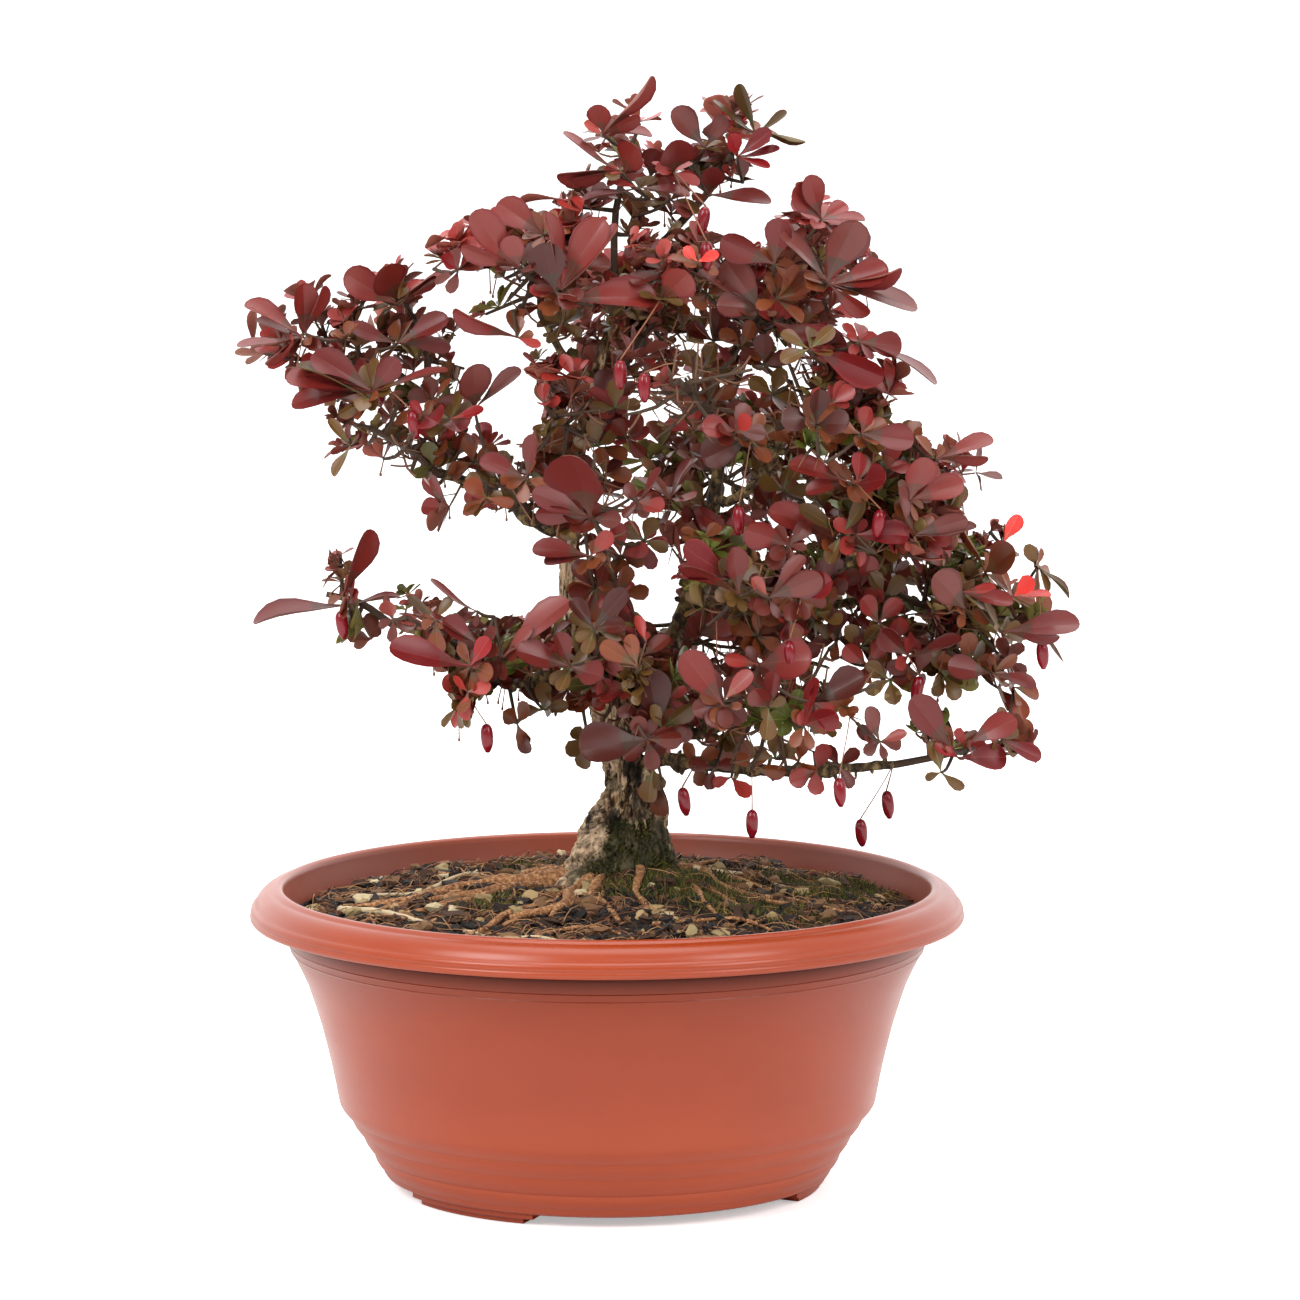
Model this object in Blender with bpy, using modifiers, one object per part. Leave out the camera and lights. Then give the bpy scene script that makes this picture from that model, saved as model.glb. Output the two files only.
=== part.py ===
"""Potted purple-leaved japanese barberry, trained as a small tree, in a round training pot with three feet."""

import math
import random

import bmesh
import bpy
from mathutils import Matrix, Vector
from mathutils.bvhtree import BVHTree

# Lengths in the tables are in millimetres, measured from the pot's axis at table level:
# x to the right, y away from the front, z up.
MM = 0.001
GAP = 0.3
WELD = 0.00001

# Pot
POT_SEGMENTS = 40
RIM_RADIUS = 125.3
POT_HEIGHT = 106.0
BODY_RADIUS = 113.4
FOOT_RADIUS = 75.6
BASE_HEIGHT = 2.6
FLOOR_HEIGHT = 4.8
FIRST_FOOT = -40.0
FOOT_COUNT = 3
FOOT_TIERS = (
    dict(bottom=0.0, top=2.4, span=36.0, outer=FOOT_RADIUS, inner=66.0),
    dict(bottom=1.9, top=5.0, span=42.0, outer=FOOT_RADIUS + 1.4, inner=65.0),
)
ROLLED_GROOVES = ((90.2, 24.6), (86.2, 18.5), (82.1, 11.9), (79.3, 6.5))
BULGE_RISE = 2.3

# Soil
SOIL_CENTRE = 105.0
SOIL_SEAT = 40.0
SOIL_EDGE = 94.8
SOIL_RADIUS = 111.8
SOIL_RINGS = (58.0, 76.0, 94.0)
LUMP_HEIGHT = (1.8, 3.6)
LUMP_SHARE = 0.45
LUMPS_CLEAR_OF_ROOTS = 20.0
LUMP_SEED = 41

# Trunk: stations from the ground to the leader's tip
TRUNK_STATIONS = (
    dict(x=4.5, y=8.0, z=SOIL_CENTRE + GAP, r=8.0),
    dict(x=7.0, y=8.0, z=147.0, r=7.0),
    dict(x=0.0, y=7.0, z=170.0, r=5.6),
    dict(x=-13.0, y=5.0, z=207.0, r=3.3),
    dict(x=-9.0, y=4.0, z=262.0, r=2.6),
    dict(x=6.0, y=3.0, z=312.0, r=1.9),
    dict(x=27.0, y=2.0, z=339.0, r=1.4),
)
FLARE = 15.5
FLARE_FADE = 20.0
FLARE_LOBES = 5
LOBE_DEPTH = 0.16
TRUNK_SIDES = 10
TRUNK_SHADE = 50.0
LIMB_SHADE = 60.0

# Boughs: each springs from a parent at a share of its length and ends at its tip
SPRING_CLEARANCE = 0.25
KNEE_LENGTH = 5.0
KNEE_SHARE = 0.2
BOUGHS = (
    dict(
        name="right_stem", parent="trunk", share=0.24,
        tip=(44, 0, 292), r=(3.6, 1.6), bow=(5, 0, -6),
    ),
    dict(
        name="bough_left_low", parent="trunk", share=0.32,
        tip=(-34, -12, 178), r=(2.9, 1.9), bow=(0, 0, 1),
    ),
    dict(
        name="bough_left_tip", parent="bough_left_low", share=0.72,
        tip=(-75, -7, 199), r=(1.5, 1.0), bow=(3, 0, -2),
    ),
    dict(
        name="bough_left_mid", parent="trunk", share=0.52,
        tip=(-58, -12, 252), r=(2.3, 1.5), bow=(0, 0, 3),
    ),
    dict(
        name="bough_left_high", parent="bough_left_mid", share=0.70,
        tip=(-72, 3, 284), r=(1.5, 1.0), bow=(4, 2, 2),
    ),
    dict(
        name="bough_right_low", parent="trunk", share=0.17,
        tip=(100, -12, 150), r=(2.6, 1.4), bow=(0, -3, -3),
    ),
    dict(
        name="bough_right_curved", parent="trunk", share=0.21,
        tip=(46, -24, 172), r=(2.3, 1.5), bow=(4, -2, -5),
    ),
    dict(
        name="bough_right", parent="right_stem", share=0.34,
        tip=(100, 0, 208), r=(2.2, 1.4), bow=(0, 2, -3),
    ),
    dict(
        name="bough_right_mid", parent="bough_right", share=0.60,
        tip=(86, -18, 228), r=(1.6, 1.1), bow=(3, 0, -2),
    ),
    dict(
        name="bough_right_high", parent="right_stem", share=0.62,
        tip=(60, -20, 267), r=(1.8, 1.2), bow=(4, 0, -3),
    ),
    dict(
        name="bough_back_low", parent="trunk", share=0.27,
        tip=(22, 40, 180), r=(2.2, 1.4), bow=(1, 3, -4),
    ),
    dict(
        name="bough_back_right", parent="bough_right", share=0.42,
        tip=(85, 32, 214), r=(1.6, 1.1), bow=(0, 3, -2),
    ),
    dict(
        name="bough_back_mid", parent="right_stem", share=0.50,
        tip=(40, 44, 240), r=(1.7, 1.2), bow=(0, 3, -3),
    ),
    dict(
        name="bough_back_high", parent="trunk", share=0.71,
        tip=(8, 38, 288), r=(1.7, 1.1), bow=(0, 4, -3),
    ),
    dict(
        name="bough_left_top", parent="trunk", share=0.74,
        tip=(-22, -11, 306), r=(1.7, 1.1), bow=(0, 0, -2),
    ),
)

# Surface roots, lying on the soil
ROOT_CLEARANCE = 0.6
ROOT_SWEEP_TURN = 2.4
ROOT_STEPS = 5
ROOTS = (
    dict(name="root_left", heading=-68.0, reach=98.0, r=(3.4, 1.2), sweep=-13.0),
    dict(name="root_front_left", heading=-36.0, reach=70.0, r=(3.0, 1.3), sweep=11.0),
    dict(name="root_front", heading=-4.0, reach=44.0, r=(2.4, 1.0), sweep=8.0),
    dict(name="root_right", heading=70.0, reach=56.0, r=(2.8, 1.1), sweep=-9.0),
    dict(name="root_back", heading=160.0, reach=50.0, r=(2.6, 1.1), sweep=9.0),
)

# Masses of foliage: centre, half sizes, the limb they grow from, and where their leading shoot points
MASSES = (
    dict(
        name="foliage_apex_right", at=(42, 8, 354), half=(32, 30, 31),
        limb="trunk", share=1.0, lead=(0.2, -0.1, 1), twigs=5, seed=26,
    ),
    dict(
        name="foliage_apex_left", at=(6, -8, 358), half=(28, 30, 31),
        limb="trunk", share=0.87, lead=(0.4, 0, 1), twigs=5, seed=4,
    ),
    dict(
        name="foliage_top_right", at=(71, -22, 325), half=(40, 36, 32),
        limb="right_stem", share=1.0, lead=(0.9, -0.2, -0.25), twigs=6, seed=27,
    ),
    dict(
        name="foliage_top_centre", at=(28, -32, 320), half=(31, 28, 28),
        limb="trunk", share=0.9, lead=(0.2, -1, 0.3), twigs=4, seed=12,
    ),
    dict(
        name="foliage_top_left", at=(-22, -26, 321), half=(43, 36, 30),
        limb="bough_left_top", share=1.0, lead=(-0.95, 0, 0.35), twigs=6, seed=13,
    ),
    dict(
        name="foliage_left_outer", at=(-94, -4, 290), half=(36, 34, 32),
        limb="bough_left_high", share=1.0, lead=(-1, 0, 0.1), twigs=5, seed=14,
    ),
    dict(
        name="foliage_left_high", at=(-64, 14, 297), half=(30, 32, 32),
        limb="bough_left_high", share=0.82, lead=(-0.4, -0.2, 0.9), twigs=4, seed=28,
    ),
    dict(
        name="foliage_left_mid", at=(-73, -24, 266), half=(42, 28, 25),
        limb="bough_left_mid", share=1.0, lead=(-1, 0, 0.3), twigs=5, seed=15,
    ),
    dict(
        name="foliage_left_inner", at=(-35, -28, 250), half=(26, 20, 21),
        limb="bough_left_mid", share=0.34, lead=(-0.3, -0.6, 0.6), twigs=3, seed=20,
    ),
    dict(
        name="foliage_left_low", at=(-45, -30, 191), half=(38, 34, 29),
        limb="bough_left_low", share=1.0, lead=(-0.7, -0.3, 0.4), twigs=6, seed=6,
    ),
    dict(
        name="foliage_left_tip", at=(-90, -8, 211), half=(37, 22, 21),
        limb="bough_left_tip", share=1.0, lead=(-1, 0, -0.25), twigs=3, seed=25,
    ),
    dict(
        name="foliage_right_low", at=(62, -44, 174), half=(46, 38, 32),
        limb="bough_right_curved", share=1.0, lead=(0.6, -0.3, 0.2), twigs=7, seed=7,
    ),
    dict(
        name="foliage_right_low_far", at=(122, -20, 158), half=(31, 28, 20),
        limb="bough_right_low", share=1.0, lead=(1, 0, -0.12), twigs=4, seed=7,
    ),
    dict(
        name="foliage_right_end", at=(122, -4, 203), half=(43, 40, 35),
        limb="bough_right", share=1.0, lead=(1, 0, -0.08), twigs=6, seed=31,
    ),
    dict(
        name="foliage_right_mid", at=(96, -32, 245), half=(41, 36, 29),
        limb="bough_right_mid", share=1.0, lead=(0.85, 0, 0.52), twigs=6, seed=11,
    ),
    dict(
        name="foliage_right_high", at=(76, -38, 276), half=(42, 36, 33),
        limb="bough_right_high", share=1.0, lead=(0.95, 0, 0.35), twigs=6, seed=22,
    ),
    dict(
        name="foliage_centre_right", at=(46, -52, 216), half=(42, 28, 28),
        limb="right_stem", share=0.42, lead=(0.2, -1, 0.1), twigs=5, seed=27,
    ),
    dict(
        name="foliage_centre_left", at=(-17, -38, 273), half=(25, 24, 26),
        limb="trunk", share=0.66, lead=(-0.3, -0.8, 0.4), twigs=3, seed=36,
    ),
    dict(
        name="foliage_centre_front", at=(-6, -50, 241), half=(28, 28, 34),
        limb="trunk", share=0.55, lead=(0.1, -0.6, 0.8), twigs=5, seed=21,
    ),
    dict(
        name="foliage_centre_low", at=(8, -46, 187), half=(29, 28, 33),
        limb="trunk", share=0.31, lead=(0.1, -0.8, 0.1), twigs=5, seed=22,
    ),
    dict(
        name="foliage_centre_high", at=(26, -50, 286), half=(38, 30, 30),
        limb="right_stem", share=0.8, lead=(-0.2, -1, 0.2), twigs=5, seed=38,
    ),
    dict(
        name="foliage_back_low", at=(26, 62, 190), half=(40, 38, 34),
        limb="bough_back_low", share=1.0, lead=(0.2, 1, 0.2), twigs=4, seed=17,
    ),
    dict(
        name="foliage_back_mid", at=(40, 68, 246), half=(40, 38, 32),
        limb="bough_back_mid", share=1.0, lead=(0.1, 1, 0.3), twigs=4, seed=37,
    ),
    dict(
        name="foliage_back_high", at=(14, 60, 302), half=(38, 38, 32),
        limb="bough_back_high", share=1.0, lead=(-0.1, 1, 0.5), twigs=4, seed=32,
    ),
    dict(
        name="foliage_back_right", at=(94, 52, 226), half=(40, 38, 36),
        limb="bough_back_right", share=1.0, lead=(0.4, 1, 0.2), twigs=5, seed=10,
    ),
    dict(
        name="foliage_back_left", at=(-32, 46, 186), half=(32, 34, 26),
        limb="trunk", share=0.3, lead=(-0.6, 0.8, 0.2), twigs=4, seed=13,
    ),
    dict(
        name="foliage_back_top", at=(56, 46, 316), half=(36, 36, 32),
        limb="right_stem", share=0.88, lead=(0.4, 0.9, 0.4), twigs=4, seed=16,
    ),
)
STEM_RADII = (1.6, 1.4)
TRUNK_SWELL = 0.7
LIMB_SWELL = 0.8
STEM_KNEE = 3.0
STEM_BEND = 0.6
STEM_LEAD = 0.22
FARTHEST = 120.0
HALVINGS = 14
EDGE_MARGIN = 0.2
FIT_MARGIN = 0.1
TWIG_RADII = (0.95, 0.8)
TWIG_SHARE = (0.3, 0.5)
TWIG_ZONE_START = 0.40
TWIG_ZONE_LENGTH = 0.55
TWIG_TURN = 0.3
TWIG_FORWARD = (-0.25, 0.35)
TWIG_ROOT = 0.3
SHORT_TWIG = 5.0
SHORTEST_TWIG = 4.0
TWIG_BARE_FOOT = 2.0
LEAF_LENGTH = (24.0, 34.0)
LEAF_WIDTH = 0.57
LEAF_THICKNESS = 0.9
LEAF_CUP = 0.04
LEAF_RIDGE = 0.42
LEAF_CORNERS = ((0.0, 0.0), (0.62, 0.5), (0.97, 0.26), (0.97, -0.26), (0.62, -0.5))
LEAVES_PER_TWIG = 4
FIRST_LEAF = 0.8
LEAF_SPACING = 1.7
LEAF_ALLOWANCE = 0.6
LEAF_LEAN = (25.0, 75.0)
LEAF_OUTWARD = 0.7
LEAF_UPWARD = 0.55
LEAF_ALONG_TWIG = 0.4
LEAF_SCATTER = 0.4
LEAF_SHRINK = 0.05
LEAF_EDGE_ON = 0.2
LEAF_TRIES = 9
LEAF_SWING = 0.25
LEAF_ROOT = 0.2
BERRY_LENGTH = 9.5
BERRY_RADIUS = 2.1
BERRY_STALK = 11.0
BERRY_SWELL = 1.15
BERRY_MARGIN = 3.0
BERRY_PLACE = 0.7
STALK_RADII = (0.5, 0.45)
STALK_SUNK = 1.2
BERRIES = {
    "foliage_left_low": 1,
    "foliage_left_tip": 1,
    "foliage_right_low": 3,
    "foliage_centre_low": 1,
    "foliage_centre_high": 2,
    "foliage_right_mid": 1,
    "foliage_right_high": 1,
}
CROWN_AXIS = (10.0, 10.0)
GOLDEN_TURN = math.pi * (3.0 - math.sqrt(5.0))

COLOURS = {
    "pot": ((0.46, 0.115, 0.045), 0.42),
    "soil": ((0.045, 0.03, 0.018), 0.95),
    "bark": ((0.30, 0.20, 0.10), 0.85),
    "twig_bark": ((0.13, 0.09, 0.045), 0.8),
    "foliage": ((0.115, 0.022, 0.028), 0.5),
}


def clear_scene():
    for obj in list(bpy.data.objects):
        bpy.data.objects.remove(obj, do_unlink=True)


def make_collection(name):
    collection = bpy.data.collections.new(name)
    bpy.context.scene.collection.children.link(collection)
    return collection


def make_material(name):
    colour, roughness = COLOURS[name]
    material = bpy.data.materials.new(name)
    material.use_nodes = True
    shader = material.node_tree.nodes["Principled BSDF"]
    shader.inputs["Base Color"].default_value = (*colour, 1.0)
    shader.inputs["Roughness"].default_value = roughness
    shader.inputs["Metallic"].default_value = 0.0
    material.diffuse_color = (*colour, 1.0)
    return material


def link_mesh(name, mesh, collection, material):
    obj = bpy.data.objects.new(name, mesh)
    mesh.materials.clear()
    mesh.materials.append(material)
    collection.objects.link(obj)
    return obj


def evaluated_mesh(obj):
    bpy.context.view_layer.update()
    depsgraph = bpy.context.evaluated_depsgraph_get()
    return bpy.data.meshes.new_from_object(obj.evaluated_get(depsgraph))


def weld(mesh):
    bm = bmesh.new()
    bm.from_mesh(mesh)
    bmesh.ops.remove_doubles(bm, verts=bm.verts, dist=WELD)
    bmesh.ops.recalc_face_normals(bm, faces=bm.faces)
    bm.to_mesh(mesh)
    bm.free()


def turned(name, profile, collection, material):
    """A closed turned solid from a profile of radius and height in millimetres."""
    mesh = bpy.data.meshes.new(name)
    points = [(radius * MM, 0.0, height * MM) for radius, height in profile]
    mesh.from_pydata(points, [(i, i + 1) for i in range(len(points) - 1)], [])
    obj = link_mesh(name, mesh, collection, material)
    screw = obj.modifiers.new("turn", "SCREW")
    screw.axis = "Z"
    screw.steps = POT_SEGMENTS
    screw.render_steps = POT_SEGMENTS
    screw.use_merge_vertices = True
    screw.merge_threshold = WELD
    return obj


def pot_inner_profile():
    """The inside of the pot from the middle of its floor up to the lip."""
    return [
        (0.0, FLOOR_HEIGHT),
        (74.0, FLOOR_HEIGHT),
        (88.8, 25.0),
        (96.6, 50.0),
        (102.9, 71.5),
        (112.0, 94.0),
        (115.4, POT_HEIGHT - 0.7),
    ]


def pot_outer_profile():
    """The rolled rim, the flaring body, the rolled grooves and the base, from the lip down."""
    profile = [
        (116.4, POT_HEIGHT),
        (117.8, POT_HEIGHT - 0.5),
        (118.8, 103.0),
        (122.4, 98.0),
        (124.3, 96.6),
        (RIM_RADIUS, 94.8),
        (RIM_RADIUS - 0.2, 93.2),
        (RIM_RADIUS - 1.8, 92.5),
        (RIM_RADIUS - 3.4, 92.4),
        (RIM_RADIUS - 5.6, 97.2),
        (117.0, 99.6),
        (BODY_RADIUS, 90.6),
        (110.6, 84.0),
        (105.3, 72.5),
        (100.8, 58.5),
        (97.1, 43.5),
        (94.6, 30.6),
    ]
    for radius, height in ROLLED_GROOVES:
        above = profile[-1][0]
        profile.append((0.7 * above + 0.3 * radius + 0.35, height + BULGE_RISE))
        profile.append((radius, height))
    profile += [(78.4, 4.4), (75.0, 3.2), (71.5, BASE_HEIGHT), (0.0, BASE_HEIGHT)]
    return profile


def foot_outline(tier, heading):
    """The outline of a foot tier, a piece of a ring, seen from above."""
    steps = 5
    outline = []
    for radius, order in ((tier["outer"], range(steps + 1)), (tier["inner"], range(steps, -1, -1))):
        for i in order:
            angle = math.radians(heading + tier["span"] * (i / steps - 0.5))
            outline.append((radius * MM * math.sin(angle), -radius * MM * math.cos(angle), 0.0))
    return outline


def foot_tier(name, tier, heading, cutters, material):
    curve = bpy.data.curves.new(name, "CURVE")
    curve.dimensions = "2D"
    curve.fill_mode = "BOTH"
    curve.extrude = 0.5 * (tier["top"] - tier["bottom"]) * MM
    outline = foot_outline(tier, heading)
    spline = curve.splines.new("POLY")
    spline.points.add(len(outline) - 1)
    for point, corner in zip(spline.points, outline):
        point.co = (*corner, 1.0)
    spline.use_cyclic_u = True
    guide = bpy.data.objects.new(name + "_guide", curve)
    cutters.objects.link(guide)
    mesh = evaluated_mesh(guide)
    bpy.data.objects.remove(guide, do_unlink=True)
    weld(mesh)
    obj = link_mesh(name, mesh, cutters, material)
    obj.location.z = 0.5 * (tier["top"] + tier["bottom"]) * MM
    obj.hide_render = True
    obj.display_type = "WIRE"
    return obj


def make_pot(parts, cutters, material):
    pot = turned("pot", pot_inner_profile() + pot_outer_profile(), parts, material)
    for foot in range(FOOT_COUNT):
        heading = FIRST_FOOT + foot * 360.0 / FOOT_COUNT
        for order, tier in enumerate(reversed(FOOT_TIERS)):
            piece = foot_tier("foot_%d_%d" % (foot, order), tier, heading, cutters, material)
            union = pot.modifiers.new("foot", "BOOLEAN")
            union.operation = "UNION"
            union.object = piece
    return pot


def soil_height(distance):
    """The height of the soil at a distance from the pot's axis."""
    share = (distance - SOIL_SEAT) / (SOIL_RADIUS - SOIL_SEAT)
    share = min(1.0, max(0.0, share))
    return SOIL_CENTRE + (SOIL_EDGE - SOIL_CENTRE) * share


def near_root(spot, root_paths):
    """Whether a spot on the soil, in millimetres, is close to a surface root."""
    return any((spot - place).xy.length < LUMPS_CLEAR_OF_ROOTS for path in root_paths for place, _ in path)


def make_soil(parts, material, root_paths):
    """The filling of the pot: a low mound with clods and stones standing out of it, flat under the roots."""
    wall = [(max(0.0, radius - 0.45), height) for radius, height in pot_inner_profile()[1:-1]]
    wall[0] = (wall[0][0], FLOOR_HEIGHT + GAP)
    rings = [0.0, SOIL_SEAT, *SOIL_RINGS, SOIL_RADIUS]
    profile = [(radius, soil_height(radius)) for radius in rings]
    profile += list(reversed(wall)) + [(0.0, FLOOR_HEIGHT + GAP)]
    guide = turned("soil_guide", profile, parts, material)
    mesh = evaluated_mesh(guide)
    bpy.data.objects.remove(guide, do_unlink=True)
    weld(mesh)
    rng = random.Random(LUMP_SEED)
    for vertex in mesh.vertices:
        spot = vertex.co / MM
        on_top = spot.z > SOIL_EDGE and SOIL_SEAT + 1.0 < spot.xy.length < SOIL_RADIUS - 1.0
        if on_top and rng.random() < LUMP_SHARE and not near_root(spot, root_paths):
            vertex.co.z += rng.uniform(*LUMP_HEIGHT) * MM
    return link_mesh("soil", mesh, parts, material)


def smooth_path(points, steps):
    """Points along a smooth line through the given points, as (position, radius) pairs."""
    path = []
    last = len(points) - 1
    for i in range(last):
        p0 = points[max(i - 1, 0)]
        p1, p2 = points[i], points[i + 1]
        p3 = points[min(i + 2, last)]
        for k in range(steps):
            t = k / steps
            spot = 0.5 * (
                2.0 * p1[0]
                + (p2[0] - p0[0]) * t
                + (2.0 * p0[0] - 5.0 * p1[0] + 4.0 * p2[0] - p3[0]) * t * t
                + (3.0 * p1[0] - p0[0] - 3.0 * p2[0] + p3[0]) * t ** 3
            )
            path.append((spot, p1[1] + (p2[1] - p1[1]) * t))
    path.append(points[last])
    return path


def trunk_path():
    stations = [(Vector((s["x"], s["y"], s["z"])), s["r"]) for s in TRUNK_STATIONS]
    return smooth_path(stations, 3)


def limb_mesh(name, path, sides, swell=0.0):
    """A tapering round limb along a path, its radius grown by swell."""
    curve = bpy.data.curves.new(name, "CURVE")
    curve.dimensions = "3D"
    curve.bevel_depth = MM
    curve.bevel_resolution = (sides - 4) // 2
    curve.use_fill_caps = True
    curve.twist_mode = "MINIMUM"
    spline = curve.splines.new("POLY")
    spline.points.add(len(path) - 1)
    for point, (spot, radius) in zip(spline.points, path):
        point.co = (*(spot * MM), 1.0)
        point.radius = radius + swell
    guide = bpy.data.objects.new(name + "_guide", curve)
    bpy.context.scene.collection.objects.link(guide)
    mesh = evaluated_mesh(guide)
    bpy.data.objects.remove(guide, do_unlink=True)
    bpy.data.curves.remove(curve)
    mesh.name = name
    weld(mesh)
    return mesh


def flare_at(height):
    """How far the root flare stands out from the trunk at a height."""
    return FLARE * math.exp(-(height - SOIL_CENTRE) / FLARE_FADE)


def trunk_mesh(path, swell=0.0):
    """The trunk: level rings with a lobed root flare below, a plain limb above."""
    bm = bmesh.new()
    rings = []
    for i, (spot, radius) in enumerate(path):
        ahead = path[min(i + 1, len(path) - 1)][0] - path[max(i - 1, 0)][0]
        lean = ahead.normalized() if i else Vector((0.0, 0.0, 1.0))
        turn = Vector((0.0, 0.0, 1.0)).rotation_difference(lean)
        flare = flare_at(spot.z)
        ring = []
        for k in range(TRUNK_SIDES):
            angle = 2.0 * math.pi * k / TRUNK_SIDES
            lobe = 1.0 + LOBE_DEPTH * min(1.0, flare / FLARE) * math.cos(FLARE_LOBES * angle)
            reach = (radius + flare) * lobe + swell
            offset = turn @ Vector((reach * math.cos(angle), reach * math.sin(angle), 0.0))
            ring.append(bm.verts.new((spot + offset) * MM))
        rings.append(ring)
    for lower, upper in zip(rings, rings[1:]):
        for k in range(TRUNK_SIDES):
            n = (k + 1) % TRUNK_SIDES
            bm.faces.new((lower[k], lower[n], upper[n], upper[k]))
    bm.faces.new(list(reversed(rings[0])))
    bm.faces.new(rings[-1])
    mesh = bpy.data.meshes.new("trunk")
    bm.to_mesh(mesh)
    bm.free()
    return mesh


def along(path, share):
    """The spot, direction and radius at a share of a limb's length."""
    lengths = [(b[0] - a[0]).length for a, b in zip(path, path[1:])]
    left = share * sum(lengths)
    for (a, b), length in zip(zip(path, path[1:]), lengths):
        if left <= length:
            t = left / length
            return a[0].lerp(b[0], t), (b[0] - a[0]).normalized(), a[1] + (b[1] - a[1]) * t
        left -= length
    a, b = path[-2], path[-1]
    return b[0].copy(), (b[0] - a[0]).normalized(), b[1]


def springing(parent_path, share, target, name):
    """Where a limb starts, clear of its parent, and which way it sets out."""
    spot, heading, radius = along(parent_path, share)
    if share >= 1.0:
        return spot + heading * GAP, heading
    if name == "trunk":
        radius = (radius + flare_at(spot.z)) * (1.0 + LOBE_DEPTH * flare_at(spot.z) / FLARE)
    outward = target - spot
    outward -= heading * outward.dot(heading)
    outward.normalize()
    return spot + outward * (radius + GAP + SPRING_CLEARANCE), outward


def bough_path(bough, paths):
    tip = Vector(bough["tip"])
    thick, thin = bough["r"]
    start, outward = springing(paths[bough["parent"]], bough["share"], tip, bough["parent"])
    reach = (tip - start).length
    knee = start + outward * min(KNEE_LENGTH, KNEE_SHARE * reach)
    middle = knee.lerp(tip, 0.5) + Vector(bough["bow"])
    bend = thick + (thin - thick) * 0.5
    collar = (start + outward * 0.5 * (knee - start).length, thick)
    body = smooth_path([(knee, thick), (middle, bend), (tip, thin)], 2)
    return [(start, thick), collar] + body


def root_path(root):
    """A root creeping from the trunk's foot over the soil."""
    base = Vector((TRUNK_STATIONS[0]["x"], TRUNK_STATIONS[0]["y"], 0.0))
    thick, thin = root["r"]
    first = (TRUNK_STATIONS[0]["r"] + FLARE) * (1.0 + LOBE_DEPTH) + ROOT_CLEARANCE
    path = []
    for i in range(ROOT_STEPS + 1):
        share = i / ROOT_STEPS
        angle = math.radians(root["heading"] + root["sweep"] * math.sin(ROOT_SWEEP_TURN * share))
        radius = thick + (thin - thick) * share
        reach = first + (root["reach"] - first) * share
        spot = base + reach * Vector((math.sin(angle), -math.cos(angle), 0.0))
        spot.z = soil_height(spot.xy.length) + radius + GAP
        path.append((spot, radius))
    return path


class Space:
    """The room of one mass: an ellipsoid cut off by planes half way to its neighbours."""

    def __init__(self, mass, others):
        self.centre = Vector(mass["at"])
        self.half = Vector(mass["half"])
        self.planes = []
        for other in others:
            centre, half = Vector(other["at"]), Vector(other["half"])
            apart = centre - self.centre
            distance = apart.length
            if other is mass or distance == 0.0:
                continue
            way = apart.normalized()
            mine, theirs = self.reach(way, self.half), self.reach(way, half)
            if distance < mine + theirs:
                edge = self.centre + way * (distance * mine / (mine + theirs) - 0.5 * GAP)
                self.planes.append((way, edge.dot(way)))

    @staticmethod
    def reach(way, half):
        return 1.0 / math.sqrt(sum((way[k] / half[k]) ** 2 for k in range(3)))

    def holds(self, spot, margin=0.0):
        offset = spot - self.centre
        if sum((offset[k] / (self.half[k] - margin)) ** 2 for k in range(3)) > 1.0:
            return False
        return all(spot.dot(way) <= limit - margin for way, limit in self.planes)

    def room(self, start, way):
        """How far it is from a start to the edge of the space."""
        low, high = 0.0, FARTHEST
        for _ in range(HALVINGS):
            middle = 0.5 * (low + high)
            if self.holds(start + way * middle, EDGE_MARGIN):
                low = middle
            else:
                high = middle
        return low


def bvh_of(meshes):
    """One search tree over several meshes."""
    vertices, polygons = [], []
    for mesh in meshes:
        first = len(vertices)
        vertices += [v.co.copy() for v in mesh.vertices]
        polygons += [[first + i for i in p.vertices] for p in mesh.polygons]
    return BVHTree.FromPolygons(vertices, polygons)


def leaf_mesh(base, way, face, length, width):
    """A leaf of eight faces: a five-cornered blade, broadest beyond its middle, raised along the midrib."""
    side = face.cross(way).normalized()
    face = way.cross(side).normalized()
    bm = bmesh.new()
    bmesh.ops.create_cone(bm, cap_ends=True, segments=5, radius1=1.0, radius2=0.0, depth=1.0)
    rim = sorted(
        (vertex for vertex in bm.verts if vertex.co.z < 0.0),
        key=lambda vertex: math.atan2(vertex.co.y, vertex.co.x) % (2.0 * math.pi),
    )
    ridge = next(vertex for vertex in bm.verts if vertex.co.z > 0.0)
    for vertex, (forth, across) in zip(rim, LEAF_CORNERS):
        sag = -2.0 * LEAF_CUP * length * abs(across)
        vertex.co = (base + way * forth * length + side * across * width + face * sag) * MM
    ridge.co = (base + way * LEAF_RIDGE * length + face * LEAF_THICKNESS) * MM
    under = next(face for face in bm.faces if len(face.verts) == 5)
    bmesh.utils.face_split(under, rim[1], rim[4])
    tip = next(face for face in bm.faces if len(face.verts) == 4)
    bmesh.utils.face_split(tip, rim[1], rim[3])
    if bm.calc_volume(signed=True) < 0.0:
        bmesh.ops.reverse_faces(bm, faces=bm.faces)
    mesh = bpy.data.meshes.new("leaf")
    bm.to_mesh(mesh)
    bm.free()
    return mesh


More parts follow.
